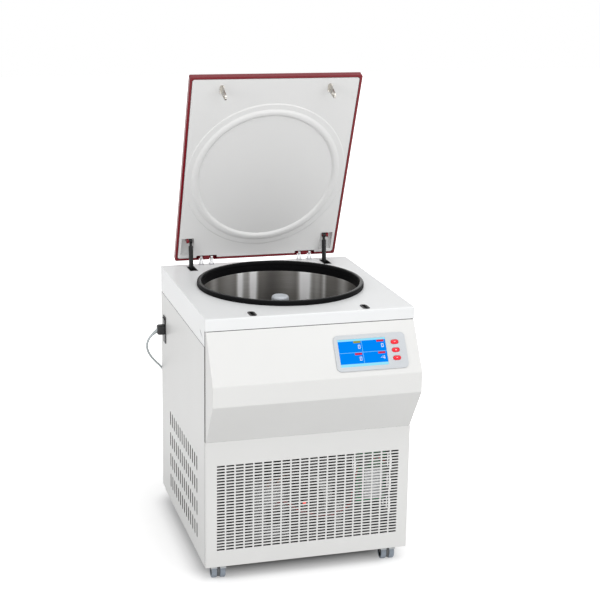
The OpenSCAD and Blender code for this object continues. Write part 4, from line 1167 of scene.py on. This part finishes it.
PLUG_X, PLUG_Y, PLUG_Z = -173, 490, 19
plug = Form(shifted(PLUG_X, PLUG_Y, PLUG_Z) @ turned_by(90, "Y"))
plug.turned(
    [(0, 0), (4.8, 0), (5.4, 8), (4.7, 8.6), (4.7, 10), (5.9, 10.8), (6.3, 16), (5.5, 16.6),
     (5.5, 18), (6.8, 18.8), (7.4, 26), (8, 33), (0, 33)], black_moulding, 36,
)
plug.turned(
    [(0, 32), (9, 32), (14, 33.4), (17.6, 36.6), (18.6, 40), (18.2, 42), (18.6, 44), (18.2, 46),
     (18.6, 48), (18.2, 50), (19, 52), (19, 59.4), (18.4, 60), (17, 60), (17, 67), (16, 68),
     (0, 68)],
    black_moulding, 56,
)
for y in (-9.5, 9.5):
    plug.rod((0, y, 66), (0, y, 86), 2.4, bright_steel, edge=0.9, sides=24, steps=3)
plug_piece = plug.piece("mains_plug_moulding", "cabinet", "black_plastic", "mains_plug")

CORD_ROUTE = (
    (-369.6, 320, 622.2), (-378.6, 321, 611.2), (-384.4, 323.5, 597.2), (-385.8, 328.5, 582.5),
    (-381.5, 339, 563), (-369.5, 354.5, 539), (-350.5, 374, 513), (-327, 391.5, 485),
    (-305, 401, 452), (-286, 404.5, 411), (-268.5, 405, 355), (-255, 405, 280), (-245, 404.5, 205),
    (-237, 404, 135), (-234, 403.7, 95), (-233, 403.4, 66), (-233, 404.6, 43.5),
    (-233, 411.5, 24.2), (-233, 422.5, 11.8), (-233, 434.8, 5.7),
)
# The coil: degrees travelled, with the reach from its middle and the height there.
CORD_RADIUS = 0.004
COIL_X, COIL_Y, COIL_TRAVEL, COIL_STEP = -190, 447, 1530, 22.5
WIDE, TIGHT = 43, 35
COIL_WIDTHS = ((0, WIDE), (220, WIDE), (380, TIGHT), (880, TIGHT), (1040, WIDE), (1530, WIDE))
COIL_HEIGHTS = ((0, 4.1), (570, 4.1), (690, 12.1), (1200, 12.1), (1300, 20), (1530, 20))


def eased(table, travel):
    """The value at a travel, with soft steps between the table's pairs."""
    for (start, first), (end, last) in zip(table, table[1:]):
        if travel <= end:
            share = (travel - start) / (end - start)
            return first + (last - first) * share * share * (3 - 2 * share)
    return table[-1][1]


cord_line = list(CORD_ROUTE)
for step in range(int(COIL_TRAVEL / COIL_STEP) + 1):
    travel = step * COIL_STEP
    across = math.radians(180 - travel)
    reach = eased(COIL_WIDTHS, travel)
    cord_line.append((
        COIL_X + reach * math.cos(across), COIL_Y + reach * math.sin(across),
        eased(COIL_HEIGHTS, travel),
    ))
cord_line.append((PLUG_X, PLUG_Y, PLUG_Z))
cord_curve = bpy.data.curves.new("mains_cord_sheath", "CURVE")
cord_curve.dimensions = "3D"
cord_curve.bevel_depth = CORD_RADIUS
cord_curve.bevel_resolution = 5
cord_curve.resolution_u = 6
cord_curve.use_fill_caps = True
run = cord_curve.splines.new("BEZIER")
run.bezier_points.add(len(cord_line) - 1)
for knot, point in zip(run.bezier_points, cord_line):
    knot.co = Vector(point) / 1000
    knot.handle_left_type = knot.handle_right_type = "AUTO"
cord_curve.materials.append(cord_grey.material)
cord = bpy.data.objects.new("mains_cord_sheath", cord_curve)
bpy.context.scene.collection.objects.link(cord)
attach(cord, "cabinet")
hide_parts("mains_cord", "cord_coil")
